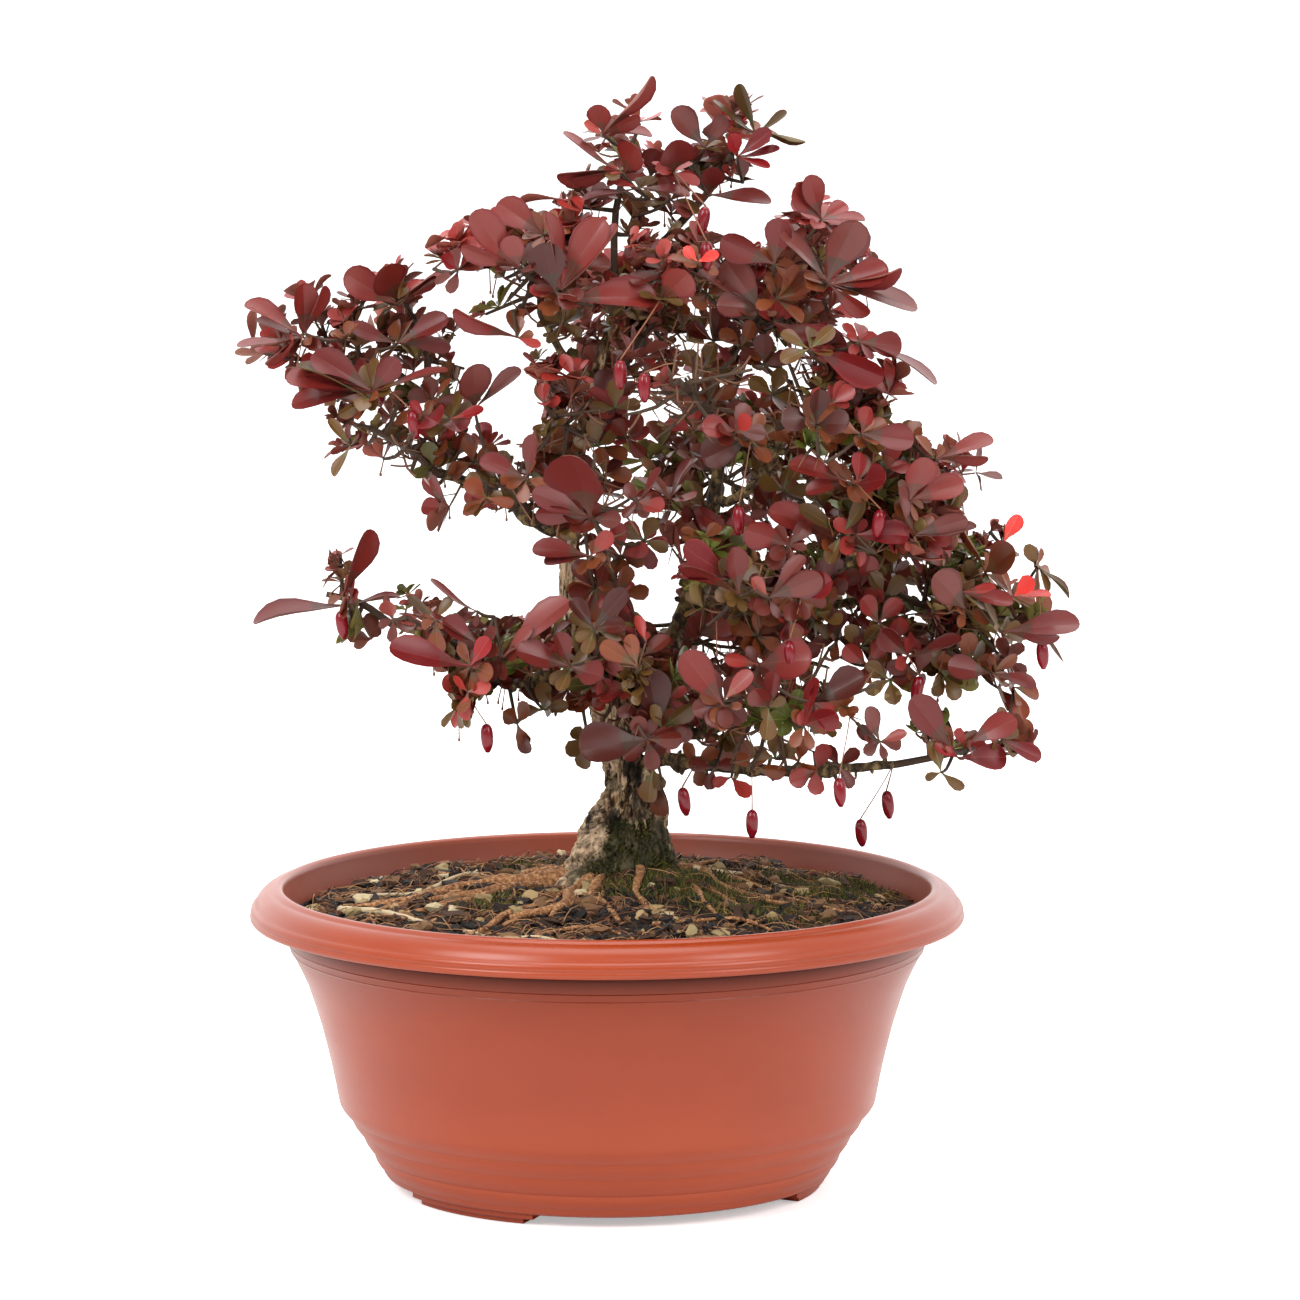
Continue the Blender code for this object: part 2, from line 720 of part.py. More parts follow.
def stick_mesh(start, end, thick, thin):
    """A three-sided twig."""
    way = end - start
    turn = Vector((0.0, 0.0, 1.0)).rotation_difference(way.normalized()).to_matrix().to_4x4()
    place = Matrix.Translation((start + end) * 0.5 * MM) @ turn
    bm = bmesh.new()
    bmesh.ops.create_cone(
        bm,
        cap_ends=True,
        segments=3,
        radius1=thick * MM,
        radius2=thin * MM,
        depth=way.length * MM,
        matrix=place,
    )
    mesh = bpy.data.meshes.new("stick")
    bm.to_mesh(mesh)
    bm.free()
    return mesh


def berry_mesh(top):
    """A hanging oblong berry."""
    bm = bmesh.new()
    bmesh.ops.create_uvsphere(bm, u_segments=5, v_segments=3, radius=1.0)
    radius = BERRY_RADIUS * BERRY_SWELL
    for vertex in bm.verts:
        x, y, z = vertex.co
        offset = Vector((x * radius, y * radius, (z - 1.0) * 0.5 * BERRY_LENGTH))
        vertex.co = (top + offset) * MM
    mesh = bpy.data.meshes.new("berry")
    bm.to_mesh(mesh)
    bm.free()
    return mesh


def fits(mesh, space, obstacles):
    """Whether a piece stays in the space and touches none of the obstacles."""
    if not all(space.holds(vertex.co / MM, FIT_MARGIN) for vertex in mesh.vertices):
        return False
    tree = bvh_of([mesh])
    return not any(tree.overlap(obstacle) for obstacle in obstacles)


def outward_from_trunk(spot):
    """Leaves turn their upper sides up and away from the middle of the crown."""
    away = Vector((spot.x - CROWN_AXIS[0], spot.y - CROWN_AXIS[1], 0.0))
    return away.normalized() * LEAF_OUTWARD + Vector((0.0, 0.0, LEAF_UPWARD))


def twig_sides(mesh, way):
    """The directions in which the three flat sides of a twig face."""
    return [polygon.normal.copy() for polygon in mesh.polygons if abs(polygon.normal.dot(way)) < 0.5]


def leading_leaf(spot, way, space, obstacles):
    """The leaf that carries a leading shoot out to the edge of its space."""
    length = min(LEAF_LENGTH[1], space.room(spot, way) + LEAF_ROOT - GAP)
    face = outward_from_trunk(spot)
    if length < 0.5 * LEAF_LENGTH[0] or face.cross(way).length < LEAF_EDGE_ON:
        return None
    mesh = leaf_mesh(spot - way * LEAF_ROOT, way, face, length, length * LEAF_WIDTH)
    if fits(mesh, space, obstacles):
        return mesh
    bpy.data.meshes.remove(mesh)
    return None


def grow_leaf(spot, axis, sides, first, space, obstacles, rng):
    """A leaf leaning out from the flat of a twig, turned or shortened until it fits."""
    for attempt in range(LEAF_TRIES):
        length = rng.uniform(*LEAF_LENGTH) * (1.0 - LEAF_SHRINK * attempt)
        lean = math.radians(rng.uniform(*LEAF_LEAN))
        side = sides[(first + attempt) % len(sides)]
        around = Matrix.Rotation(rng.uniform(-LEAF_SWING, LEAF_SWING), 3, axis) @ side
        way = (axis * math.cos(lean) + around * math.sin(lean)).normalized()
        scatter = Vector([rng.uniform(-LEAF_SCATTER, LEAF_SCATTER) for _ in range(3)])
        face = axis * LEAF_ALONG_TWIG + outward_from_trunk(spot) + scatter
        if face.cross(way).length < LEAF_EDGE_ON:
            continue
        mesh = leaf_mesh(spot - way * LEAF_ROOT, way, face, length, length * LEAF_WIDTH)
        if fits(mesh, space, obstacles):
            return mesh
        bpy.data.meshes.remove(mesh)
    return None


def mass_stem(mass, paths):
    """The stem of a mass, from its limb to the middle of its space."""
    centre = Vector(mass["at"])
    start, outward = springing(paths[mass["limb"]], mass["share"], centre, mass["limb"])
    thick, thin = STEM_RADII
    knee = start + outward * STEM_KNEE
    lead = Vector(mass["lead"]).normalized()
    end = centre + lead * STEM_LEAD * Space.reach(lead, Vector(mass["half"]))
    return [(start, thick), (knee, thick), (knee.lerp(centre, STEM_BEND), 0.5 * (thick + thin)), (end, thin)]


def grow_shoot(spot, way, space, keep_off, sprigs, rng, leads=False):
    """A twig and the leaves set in turn along its outer part."""
    room = space.room(spot, way)
    length = min(room * rng.uniform(*TWIG_SHARE), max(SHORT_TWIG, room - LEAF_ALLOWANCE * LEAF_LENGTH[0]))
    if length < SHORTEST_TWIG:
        return None
    end = spot + way * length
    twig = stick_mesh(spot - way * TWIG_ROOT, end, *TWIG_RADII)
    others = [tree for mesh, tree in sprigs]
    if not fits(twig, space, [keep_off] + others):
        bpy.data.meshes.remove(twig)
        return None
    sides = twig_sides(twig, way)
    if leads:
        leaf = leading_leaf(end, way, space, [keep_off] + others)
        if leaf:
            sprigs.append((leaf, bvh_of([leaf])))
            others.append(sprigs[-1][1])
    for k in range(LEAVES_PER_TWIG):
        back = FIRST_LEAF + k * LEAF_SPACING
        if back > length - TWIG_BARE_FOOT:
            break
        leaf = grow_leaf(end - way * back, way, sides, k, space, [keep_off] + others, rng)
        if leaf:
            sprigs.append((leaf, bvh_of([leaf])))
            others.append(sprigs[-1][1])
    sprigs.append((twig, bvh_of([twig])))
    return end


def grow_pieces(mass, stem, space, keep_off):
    """The twigs, leaves and berries of one mass, from one seeded rule."""
    rng = random.Random(mass["seed"])
    sprigs = []
    ends = []
    grow_shoot(stem[-1][0], Vector(mass["lead"]).normalized(), space, keep_off, sprigs, rng, leads=True)
    for k in range(mass["twigs"]):
        share = TWIG_ZONE_START + TWIG_ZONE_LENGTH * (k + 0.5) / mass["twigs"]
        spot, heading, _ = along(stem, share)
        around = Matrix.Rotation(k * GOLDEN_TURN + rng.uniform(-TWIG_TURN, TWIG_TURN), 3, heading)
        outward = around @ heading.orthogonal().normalized()
        way = (outward + heading * rng.uniform(*TWIG_FORWARD)).normalized()
        end = grow_shoot(spot, way, space, keep_off, sprigs, rng)
        if end:
            ends.append(spot.lerp(end, BERRY_PLACE))
    pieces = [mesh for mesh, tree in sprigs]
    hang_berries(BERRIES.get(mass["name"], 0), ends, space, keep_off, pieces)
    return pieces


def hang_berries(count, ends, space, keep_off, pieces):
    """Berries hang on thin stalks from the twigs that have room below them."""
    for spot in sorted(ends, key=lambda end: end.z):
        if count == 0:
            return
        top = spot - Vector((0.0, 0.0, BERRY_STALK))
        stalk = stick_mesh(spot, top - Vector((0.0, 0.0, STALK_SUNK)), *STALK_RADII)
        berry = berry_mesh(top)
        low = Vector((spot.x, spot.y, top.z - BERRY_LENGTH))
        if bvh_of([stalk, berry]).overlap(keep_off) or not berry_room(space, low):
            continue
        pieces += [stalk, berry]
        count -= 1


def berry_room(space, low):
    """A berry may hang below its own mass, but not into a neighbour's space."""
    return all(low.dot(way) <= limit - BERRY_MARGIN for way, limit in space.planes)


def keep_largest_body(mesh):
    """Drops loose scraps and sealed hollows, keeping the body of the largest volume."""
    bm = bmesh.new()
    bm.from_mesh(mesh)
    unseen = set(bm.faces)
    bodies = []
    while unseen:
        first = unseen.pop()
        body, queue = {first}, [first]
        while queue:
            face = queue.pop()
            for edge in face.edges:
                for other in edge.link_faces:
                    if other in unseen:
                        unseen.discard(other)
                        body.add(other)
                        queue.append(other)
        bodies.append(body)

    def volume(body):
        total = 0.0
        for face in body:
            a = face.verts[0].co
            for b, c in zip(face.verts[1:], face.verts[2:]):
                total += a.dot(b.co.cross(c.co)) / 6.0
        return total

    bodies.sort(key=volume)
    stray = [face for body in bodies[:-1] for face in body]
    bmesh.ops.delete(bm, geom=stray, context="FACES")
    bm.to_mesh(mesh)
    bm.free()


def join_pieces(name, stem, pieces, parts, material):
    """Unites a stem with its twigs, leaves and berries into one solid."""
    obj = link_mesh(name, limb_mesh(name, stem, 4), parts, material)
    sprigs = make_collection(name + "_sprigs")
    for i, mesh in enumerate(pieces):
        sprigs.objects.link(bpy.data.objects.new("%s_piece_%d" % (name, i), mesh))
    union = obj.modifiers.new("join", "BOOLEAN")
    union.operation = "UNION"
    union.operand_type = "COLLECTION"
    union.collection = sprigs
    union.solver = "MANIFOLD"
    mesh = evaluated_mesh(obj)
    obj.modifiers.clear()
    obj.data = mesh
    mesh.materials.clear()
    mesh.materials.append(material)
    for piece in list(sprigs.objects):
        bpy.data.objects.remove(piece, do_unlink=True)
    bpy.data.collections.remove(sprigs)
    keep_largest_body(mesh)
    return obj


def shade(obj, angle):
    obj.data.shade_smooth()
    obj.data.set_sharp_from_angle(angle=math.radians(angle))


def centre_on_box(objects, guides):
    """Moves everything so the origin is under the middle of the whole, at its lowest point."""
    bpy.context.view_layer.update()
    depsgraph = bpy.context.evaluated_depsgraph_get()
    low, high = Vector((1e9,) * 3), Vector((-1e9,) * 3)
    for obj in objects:
        solid = obj.evaluated_get(depsgraph)
        for vertex in solid.data.vertices:
            spot = obj.matrix_world @ vertex.co
            low = Vector(map(min, low, spot))
            high = Vector(map(max, high, spot))
    shift = Vector((-(low.x + high.x) / 2.0, -(low.y + high.y) / 2.0, -low.z))
    for obj in objects + guides:
        obj.location += shift


def build():
    clear_scene()
    parts = make_collection("japanese_barberry")
    cutters = make_collection("cutters")
    materials = {name: make_material(name) for name in COLOURS}
    make_pot(parts, cutters, materials["pot"])
    root_paths = [root_path(root) for root in ROOTS]
    make_soil(parts, materials["soil"], root_paths)
    paths = {"trunk": trunk_path()}
    trunk = link_mesh("trunk", trunk_mesh(paths["trunk"]), parts, materials["bark"])
    shade(trunk, TRUNK_SHADE)
    swollen = [trunk_mesh(paths["trunk"], TRUNK_SWELL)]
    for bough in BOUGHS:
        path = bough_path(bough, paths)
        paths[bough["name"]] = path
        obj = link_mesh(bough["name"], limb_mesh(bough["name"], path, 6), parts, materials["bark"])
        shade(obj, LIMB_SHADE)
        swollen.append(limb_mesh("guide", path, 6, LIMB_SWELL))
    for root, path in zip(ROOTS, root_paths):
        obj = link_mesh(root["name"], limb_mesh(root["name"], path, 6), parts, materials["bark"])
        shade(obj, LIMB_SHADE)
    stems = [mass_stem(mass, paths) for mass in MASSES]
    guides = [limb_mesh("guide", stem, 4, LIMB_SWELL) for stem in stems]
    for i, mass in enumerate(MASSES):
        others = [guide for k, guide in enumerate(guides) if k != i]
        keep_off = bvh_of(swollen + others)
        space = Space(mass, MASSES)
        pieces = grow_pieces(mass, stems[i], space, keep_off)
        join_pieces(mass["name"], stems[i], pieces, parts, materials["foliage"])
    for guide in swollen + guides:
        bpy.data.meshes.remove(guide)
    centre_on_box(list(parts.objects), list(cutters.objects))


build()
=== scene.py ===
import math
import random

import bpy
import numpy as np
from mathutils import Matrix, Vector, noise
from mathutils.bvhtree import BVHTree


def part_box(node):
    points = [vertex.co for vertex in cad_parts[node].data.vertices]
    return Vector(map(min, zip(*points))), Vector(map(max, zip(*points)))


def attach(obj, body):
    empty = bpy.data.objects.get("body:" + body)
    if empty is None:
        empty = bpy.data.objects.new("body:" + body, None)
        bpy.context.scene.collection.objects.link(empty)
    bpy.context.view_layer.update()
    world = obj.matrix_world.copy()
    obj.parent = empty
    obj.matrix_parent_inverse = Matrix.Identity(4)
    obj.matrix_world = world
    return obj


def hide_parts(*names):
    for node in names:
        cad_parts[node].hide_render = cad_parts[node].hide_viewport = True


# Purple japanese barberry trained as a bonsai in a terracotta-coloured training pot.
# Lengths in the tables are millimetres from the pot's axis at table level: x right, y back, z up.
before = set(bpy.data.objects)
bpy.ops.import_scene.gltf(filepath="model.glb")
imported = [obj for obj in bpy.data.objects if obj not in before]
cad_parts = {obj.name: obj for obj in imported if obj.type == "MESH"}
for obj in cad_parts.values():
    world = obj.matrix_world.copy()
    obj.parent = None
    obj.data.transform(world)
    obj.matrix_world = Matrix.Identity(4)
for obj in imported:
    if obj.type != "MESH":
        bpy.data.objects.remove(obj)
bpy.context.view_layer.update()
bpy.ops.object.select_all(action="DESELECT")

mm = 0.001
potLow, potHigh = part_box("pot")
axisX = 0.5 * (potLow.x + potHigh.x)  # the pot's axis stands a little left of the box's middle
goldenTurn = math.pi * (3 - math.sqrt(5))
up = Vector((0, 0, 1))


def stage(note):
    print("barberry:", note)


# shared helpers


def newObject(name, verts, faces, materials, slots=None, smooth=True):
    # verts in millimetres about the pot's axis
    spots = np.asarray(verts, float) * mm
    spots[:, 0] += axisX
    mesh = bpy.data.meshes.new(name)
    mesh.from_pydata(spots.tolist(), [], faces)
    for material in materials:
        mesh.materials.append(material)
    if slots is not None:
        mesh.polygons.foreach_set("material_index", slots)
    if smooth:
        mesh.shade_smooth()
    mesh.update()
    obj = bpy.data.objects.new(name, mesh)
    bpy.context.scene.collection.objects.link(obj)
    return obj


def activate(obj):
    bpy.ops.object.select_all(action="DESELECT")
    obj.select_set(True)
    bpy.context.view_layer.objects.active = obj


def smoothByAngle(obj, degrees):
    activate(obj)
    bpy.ops.object.shade_smooth_by_angle(angle=math.radians(degrees))


def carry(obj, slotName, *nodes):
    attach(obj, "root")
    if nodes:
        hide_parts(*nodes)
    obj.select_set(False)


def smoothPath(points, steps):
    # points are (position, radius) pairs, returned with steps extra stretches between each two
    path = []
    last = len(points) - 1
    for i in range(last):
        p0, p1 = points[max(i - 1, 0)], points[i]
        p2, p3 = points[i + 1], points[min(i + 2, last)]
        for k in range(steps):
            t = k / steps
            spot = 0.5 * (
                2 * p1[0]
                + (p2[0] - p0[0]) * t
                + (2 * p0[0] - 5 * p1[0] + 4 * p2[0] - p3[0]) * t * t
                + (3 * p1[0] - p0[0] - 3 * p2[0] + p3[0]) * t ** 3
            )
            path.append((spot, p1[1] + (p2[1] - p1[1]) * t))
    path.append(points[last])
    return path


def alongPath(path, share):
    lengths = [(b[0] - a[0]).length for a, b in zip(path, path[1:])]
    left = share * sum(lengths)
    for (a, b), length in zip(zip(path, path[1:]), lengths):
        if left <= length:
            t = left / length
            return a[0].lerp(b[0], t), (b[0] - a[0]).normalized(), a[1] + (b[1] - a[1]) * t
        left -= length
    a, b = path[-2], path[-1]
    return b[0].copy(), (b[0] - a[0]).normalized(), b[1]


class Tubes:
    # many tapering tubes gathered into one mesh
    def __init__(self):
        self.verts = []
        self.faces = []

    def add(self, path, sides, relief=None, closeStart=True):
        way = (path[1][0] - path[0][0]).normalized()
        across = way.orthogonal().normalized()
        first = len(self.verts)
        for i, (spot, radius) in enumerate(path):
            ahead = (path[min(i + 1, len(path) - 1)][0] - path[max(i - 1, 0)][0]).normalized()
            across = (across - ahead * across.dot(ahead)).normalized()
            other = ahead.cross(across)
            for k in range(sides):
                angle = 2 * math.pi * k / sides
                out = across * math.cos(angle) + other * math.sin(angle)
                point = spot + out * radius
                if relief:
                    point = point + out * relief(point, radius, i / (len(path) - 1))
                self.verts.append(point)
        for i in range(len(path) - 1):
            a, b = first + i * sides, first + (i + 1) * sides
            for k in range(sides):
                n = (k + 1) % sides
                self.faces.append((a + k, a + n, b + n, b + k))
        end = first + (len(path) - 1) * sides
        self.faces.append(tuple(end + k for k in range(sides)))
        if closeStart:
            self.faces.append(tuple(first + k for k in reversed(range(sides))))


# limbs: the same stations and boughs as the solids, carried on to finer wood

trunk = dict(
    stations=(
        (4.5, 8, 105.3, 8.0), (7, 8, 147, 7.0), (0, 7, 170, 5.6), (-13, 5, 207, 3.3),
        (-9, 4, 262, 2.6), (6, 3, 312, 1.9), (27, 2, 339, 1.4),
    ),  # x, y, z, radius
    flare=15.5, flareFade=20.0, lobes=5, lobeDepth=0.16, ground=105.0,
)
boughs = (  # name, parent, share of the parent's length, tip, radii, bow of the middle
    ("right_stem", "trunk", 0.24, (44, 0, 292), (3.6, 1.6), (5, 0, -6)),
    ("bough_left_low", "trunk", 0.32, (-34, -12, 178), (2.9, 1.9), (0, 0, 1)),
    ("bough_left_tip", "bough_left_low", 0.72, (-75, -7, 199), (1.5, 1.0), (3, 0, -2)),
    ("bough_left_mid", "trunk", 0.52, (-58, -12, 252), (2.3, 1.5), (0, 0, 3)),
    ("bough_left_high", "bough_left_mid", 0.70, (-72, 3, 284), (1.5, 1.0), (4, 2, 2)),
    ("bough_right_low", "trunk", 0.17, (100, -12, 150), (2.6, 1.4), (0, -3, -3)),
    ("bough_right_curved", "trunk", 0.21, (46, -24, 172), (2.3, 1.5), (4, -2, -5)),
    ("bough_right", "right_stem", 0.34, (100, 0, 208), (2.2, 1.4), (0, 2, -3)),
    ("bough_right_mid", "bough_right", 0.60, (86, -18, 228), (1.6, 1.1), (3, 0, -2)),
    ("bough_right_high", "right_stem", 0.62, (60, -20, 267), (1.8, 1.2), (4, 0, -3)),
    ("bough_back_low", "trunk", 0.27, (22, 40, 180), (2.2, 1.4), (1, 3, -4)),
    ("bough_back_right", "bough_right", 0.42, (85, 32, 214), (1.6, 1.1), (0, 3, -2)),
    ("bough_back_mid", "right_stem", 0.50, (40, 44, 240), (1.7, 1.2), (0, 3, -3)),
    ("bough_back_high", "trunk", 0.71, (8, 38, 288), (1.7, 1.1), (0, 4, -3)),
    ("bough_left_top", "trunk", 0.74, (-22, -11, 306), (1.7, 1.1), (0, 0, -2)),
)
roots = (  # name, heading, reach, radii, sweep
    ("root_left", -68, 98, (3.4, 1.2), -13),
    ("root_front_left", -36, 70, (3.0, 1.3), 11),
    ("root_front", -4, 44, (2.4, 1.0), 8),
    ("root_right", 70, 56, (2.8, 1.1), -9),
    ("root_back", 160, 50, (2.6, 1.1), 9),
)
soilShape = dict(centre=105.0, seat=40.0, edge=94.8, radius=111.8)


def flareAt(height):
    return trunk["flare"] * math.exp(-(height - trunk["ground"]) / trunk["flareFade"])


def springing(path, share, target, parent):
    # where a limb leaves its parent: here it starts inside the bark, so no gap shows
    spot, heading, radius = alongPath(path, share)
    if share >= 1:
        return spot - heading * 1.5, heading
    if parent == "trunk":
        radius = (radius + flareAt(spot.z)) * (1 + trunk["lobeDepth"] * flareAt(spot.z) / trunk["flare"])
    outward = target - spot
    outward = (outward - heading * outward.dot(heading)).normalized()
    return spot + outward * (radius + 0.55), outward


trunkFoot = Vector((trunk["stations"][0][0], trunk["stations"][0][1], 0))
trunkPath = smoothPath([(Vector(s[:3]), s[3]) for s in trunk["stations"]], 3)
paths = {"trunk": trunkPath}
for name, parent, share, tip, (thick, thin), bow in boughs:
    tip = Vector(tip)
    start, outward = springing(paths[parent], share, tip, parent)
    knee = start + outward * min(5, 0.2 * (tip - start).length)
    middle = knee.lerp(tip, 0.5) + Vector(bow)
    body = smoothPath([(knee, thick), (middle, 0.5 * (thick + thin)), (tip, thin)], 2)
    paths[name] = [(start, thick), (start + outward * 0.5 * (knee - start).length, thick)] + body


def soilHeight(distance):
    share = (distance - soilShape["seat"]) / (soilShape["radius"] - soilShape["seat"])
    share = min(1.0, max(0.0, share))
    return soilShape["centre"] + (soilShape["edge"] - soilShape["centre"]) * share


# the masses of foliage and the room each one keeps to

masses = (  # name, centre, half sizes, limb, share, direction of the leading shoot, shoots, fullness
    ("apex_right", (42, 8, 354), (32, 30, 31), "trunk", 1.0, (0.2, -0.1, 1), 5, 0.5),
    ("apex_left", (6, -8, 358), (28, 30, 31), "trunk", 0.87, (0.4, 0, 1), 5, 0.5),
    ("top_right", (71, -22, 325), (40, 36, 32), "right_stem", 1.0, (0.9, -0.2, -0.25), 6, 1.1),
    ("top_centre", (28, -32, 320), (31, 28, 28), "trunk", 0.9, (0.2, -1, 0.3), 4, 1.2),
    ("top_left", (-22, -26, 321), (43, 36, 30), "bough_left_top", 1.0, (-0.95, 0, 0.35), 6, 1.0),
    ("left_outer", (-94, -4, 290), (36, 34, 32), "bough_left_high", 1.0, (-1, 0, 0.1), 5, 0.9),
    ("left_high", (-64, 14, 297), (30, 32, 32), "bough_left_high", 0.82, (-0.4, -0.2, 0.9), 4, 0.7),
    ("left_mid", (-73, -24, 266), (42, 28, 25), "bough_left_mid", 1.0, (-1, 0, 0.3), 5, 1.2),
    ("left_inner", (-35, -28, 250), (26, 20, 21), "bough_left_mid", 0.34, (-0.3, -0.6, 0.6), 3, 1.4),
    ("left_low", (-45, -30, 191), (38, 34, 29), "bough_left_low", 1.0, (-0.7, -0.3, 0.4), 6, 0.9),
    ("left_tip", (-90, -8, 211), (37, 22, 21), "bough_left_tip", 1.0, (-1, 0, -0.25), 3, 0.5),
    ("right_low", (62, -44, 174), (46, 38, 32), "bough_right_curved", 1.0, (0.6, -0.3, 0.2), 7, 1.7),
    ("right_low_far", (122, -20, 158), (31, 28, 20), "bough_right_low", 1.0, (1, 0, -0.12), 4, 0.5),
    ("right_end", (122, -4, 203), (43, 40, 35), "bough_right", 1.0, (1, 0, -0.08), 6, 1.5),
    ("right_mid", (96, -32, 245), (41, 36, 29), "bough_right_mid", 1.0, (0.85, 0, 0.52), 6, 1.8),
    ("right_high", (76, -38, 276), (42, 36, 33), "bough_right_high", 1.0, (0.95, 0, 0.35), 6, 1.6),
    ("centre_right", (46, -52, 216), (42, 28, 28), "right_stem", 0.42, (0.2, -1, 0.1), 5, 2.2),
    ("centre_left", (-17, -38, 273), (25, 24, 26), "trunk", 0.66, (-0.3, -0.8, 0.4), 3, 2.0),
    ("centre_front", (-6, -50, 241), (28, 28, 34), "trunk", 0.55, (0.1, -0.6, 0.8), 5, 2.2),
    ("centre_low", (8, -46, 187), (29, 28, 33), "trunk", 0.31, (0.1, -0.8, 0.1), 5, 1.7),
    ("centre_high", (26, -50, 286), (38, 30, 30), "right_stem", 0.8, (-0.2, -1, 0.2), 5, 2.2),
    ("back_low", (26, 62, 190), (40, 38, 34), "bough_back_low", 1.0, (0.2, 1, 0.2), 4, 1.4),
    ("back_mid", (40, 68, 246), (40, 38, 32), "bough_back_mid", 1.0, (0.1, 1, 0.3), 4, 1.7),
    ("back_high", (14, 60, 302), (38, 38, 32), "bough_back_high", 1.0, (-0.1, 1, 0.5), 4, 1.6),
    ("back_right", (94, 52, 226), (40, 38, 36), "bough_back_right", 1.0, (0.4, 1, 0.2), 5, 1.4),
    ("back_left", (-32, 46, 186), (32, 34, 26), "trunk", 0.3, (-0.6, 0.8, 0.2), 4, 1.0),
    ("back_top", (56, 46, 316), (36, 36, 32), "right_stem", 0.88, (0.4, 0.9, 0.4), 4, 1.5),
)


class Room:
    # an ellipsoid cut off half way to its neighbours, as in the solids
    def __init__(self, centre, half):
        self.centre = Vector(centre)
        self.half = Vector(half)
        self.planes = []

    def reach(self, way):
        return 1 / math.sqrt(sum((way[k] / self.half[k]) ** 2 for k in range(3)))

    def cutBy(self, other):
        apart = other.centre - self.centre
        way = apart.normalized()
        mine, theirs = self.reach(way), other.reach(way)
        if apart.length < mine + theirs:
            edge = self.centre + way * (apart.length * mine / (mine + theirs) - 0.15)
            self.planes.append((way, edge.dot(way)))

    def holds(self, spot, margin=0.0):
        x, y, z = spot - self.centre
        a, b, c = self.half
        if (x / (a - margin)) ** 2 + (y / (b - margin)) ** 2 + (z / (c - margin)) ** 2 > 1:
            return False
        return all(spot.dot(way) <= limit - margin for way, limit in self.planes)

    def far(self, start, way):
        low, high = 0.0, 120.0
        for _ in range(10):
            middle = 0.5 * (low + high)
            if self.holds(start + way * middle, 0.2):
                low = middle
            else:
                high = middle
        return low


rooms = [Room(row[1], row[2]) for row in masses]
for room in rooms:
    for other in rooms:
        if other is not room:
            room.cutBy(other)

growth = dict(
    seed=11,
    shootReach=(0.55, 0.85),  # share of the way to the edge of the room
    shootRadii=(0.95, 0.55),
    sideRadii=(0.6, 0.4),
    nodeSpacing=4.4,
    sideSpacing=7.0,
    sideLength=(6, 15),
    leavesAtNode=(5, 9),
    outerLeaf=(9, 20),
    innerLeaf=(5, 11),
    leafWidth=(0.46, 0.66),
    lean=(28, 82),
    leafLimit=15500,
    shadedBelow=212,
    sunlitAbove=276,
    sunlitLeft=-48,
)
crownMiddle = Vector((12, 2, 235))
skyGaps = (  # openings that show sky in the photo: x, z, half width, half height, slant
    (-38, 218, 26, 18, 4),
    (-41, 294, 14, 9, -10),
    (58, 350, 8, 15, -25),
    (95, 362, 26, 22, 0),
    (128, 318, 20, 34, 0),
    (-113, 221, 16, 12, 0),
    (-112, 190, 18, 9, 0),
    (-83, 245, 20, 9, -8),
    (-68, 171, 15, 15, 0),
    (132, 134, 26, 9, 0),
    (-55, 352, 34, 14, 20),
    (148, 250, 12, 22, 20),
    (-30, 273, 8, 12, 0),
    (18, 205, 10, 9, 0),
    (43, 246, 10, 8, 30),
    (38, 191, 6, 6, 0),
    (-45, 314, 10, 4, 0),
    (8, 393, 12, 9, 0),
    (46, 388, 9, 6, 0),
    (104, 328, 8, 10, 0),
    (110, 282, 8, 9, 0),
    (133, 255, 7, 8, 0),
    (159, 203, 7, 13, 0),
    (94, 170, 9, 6, 0),
    (125, 166, 6, 6, 0),
    (126, 147, 28, 5, 0),
    (66, 143, 36, 3, 0),
    (-92, 229, 7, 6, 0),
    (-125, 301, 5, 6, 0),
    (-106, 271, 7, 8, 0),
    (-70, 186, 8, 5, 0),
    (-16, 358, 10, 9, 0),
    (18, 381, 7, 7, 0),
    (43, 341, 8, 8, 0),
    (102, 318, 9, 8, 0),
    (-13, 158, 6, 8, 0),
    (-118, 206, 14, 8, 0),
    (-33, 163, 12, 10, 0),
    (20, 135, 10, 7, 0),
)


def inSky(spot):
    # the openings are seen along the camera's view, which looks down a little
    high = spot.z + 0.126 * spot.y
    for x, z, halfWide, halfHigh, slant in skyGaps:
        dx, dz = spot.x - x, high - z
        turn = math.radians(slant)
        a = dx * math.cos(turn) + dz * math.sin(turn)
        b = dz * math.cos(turn) - dx * math.sin(turn)
        if (a / halfWide) ** 2 + (b / halfHigh) ** 2 < 1:
            return True
    return False


# sprays read from the photo: tint, foot, leaves as (turn in the picture, length, width)

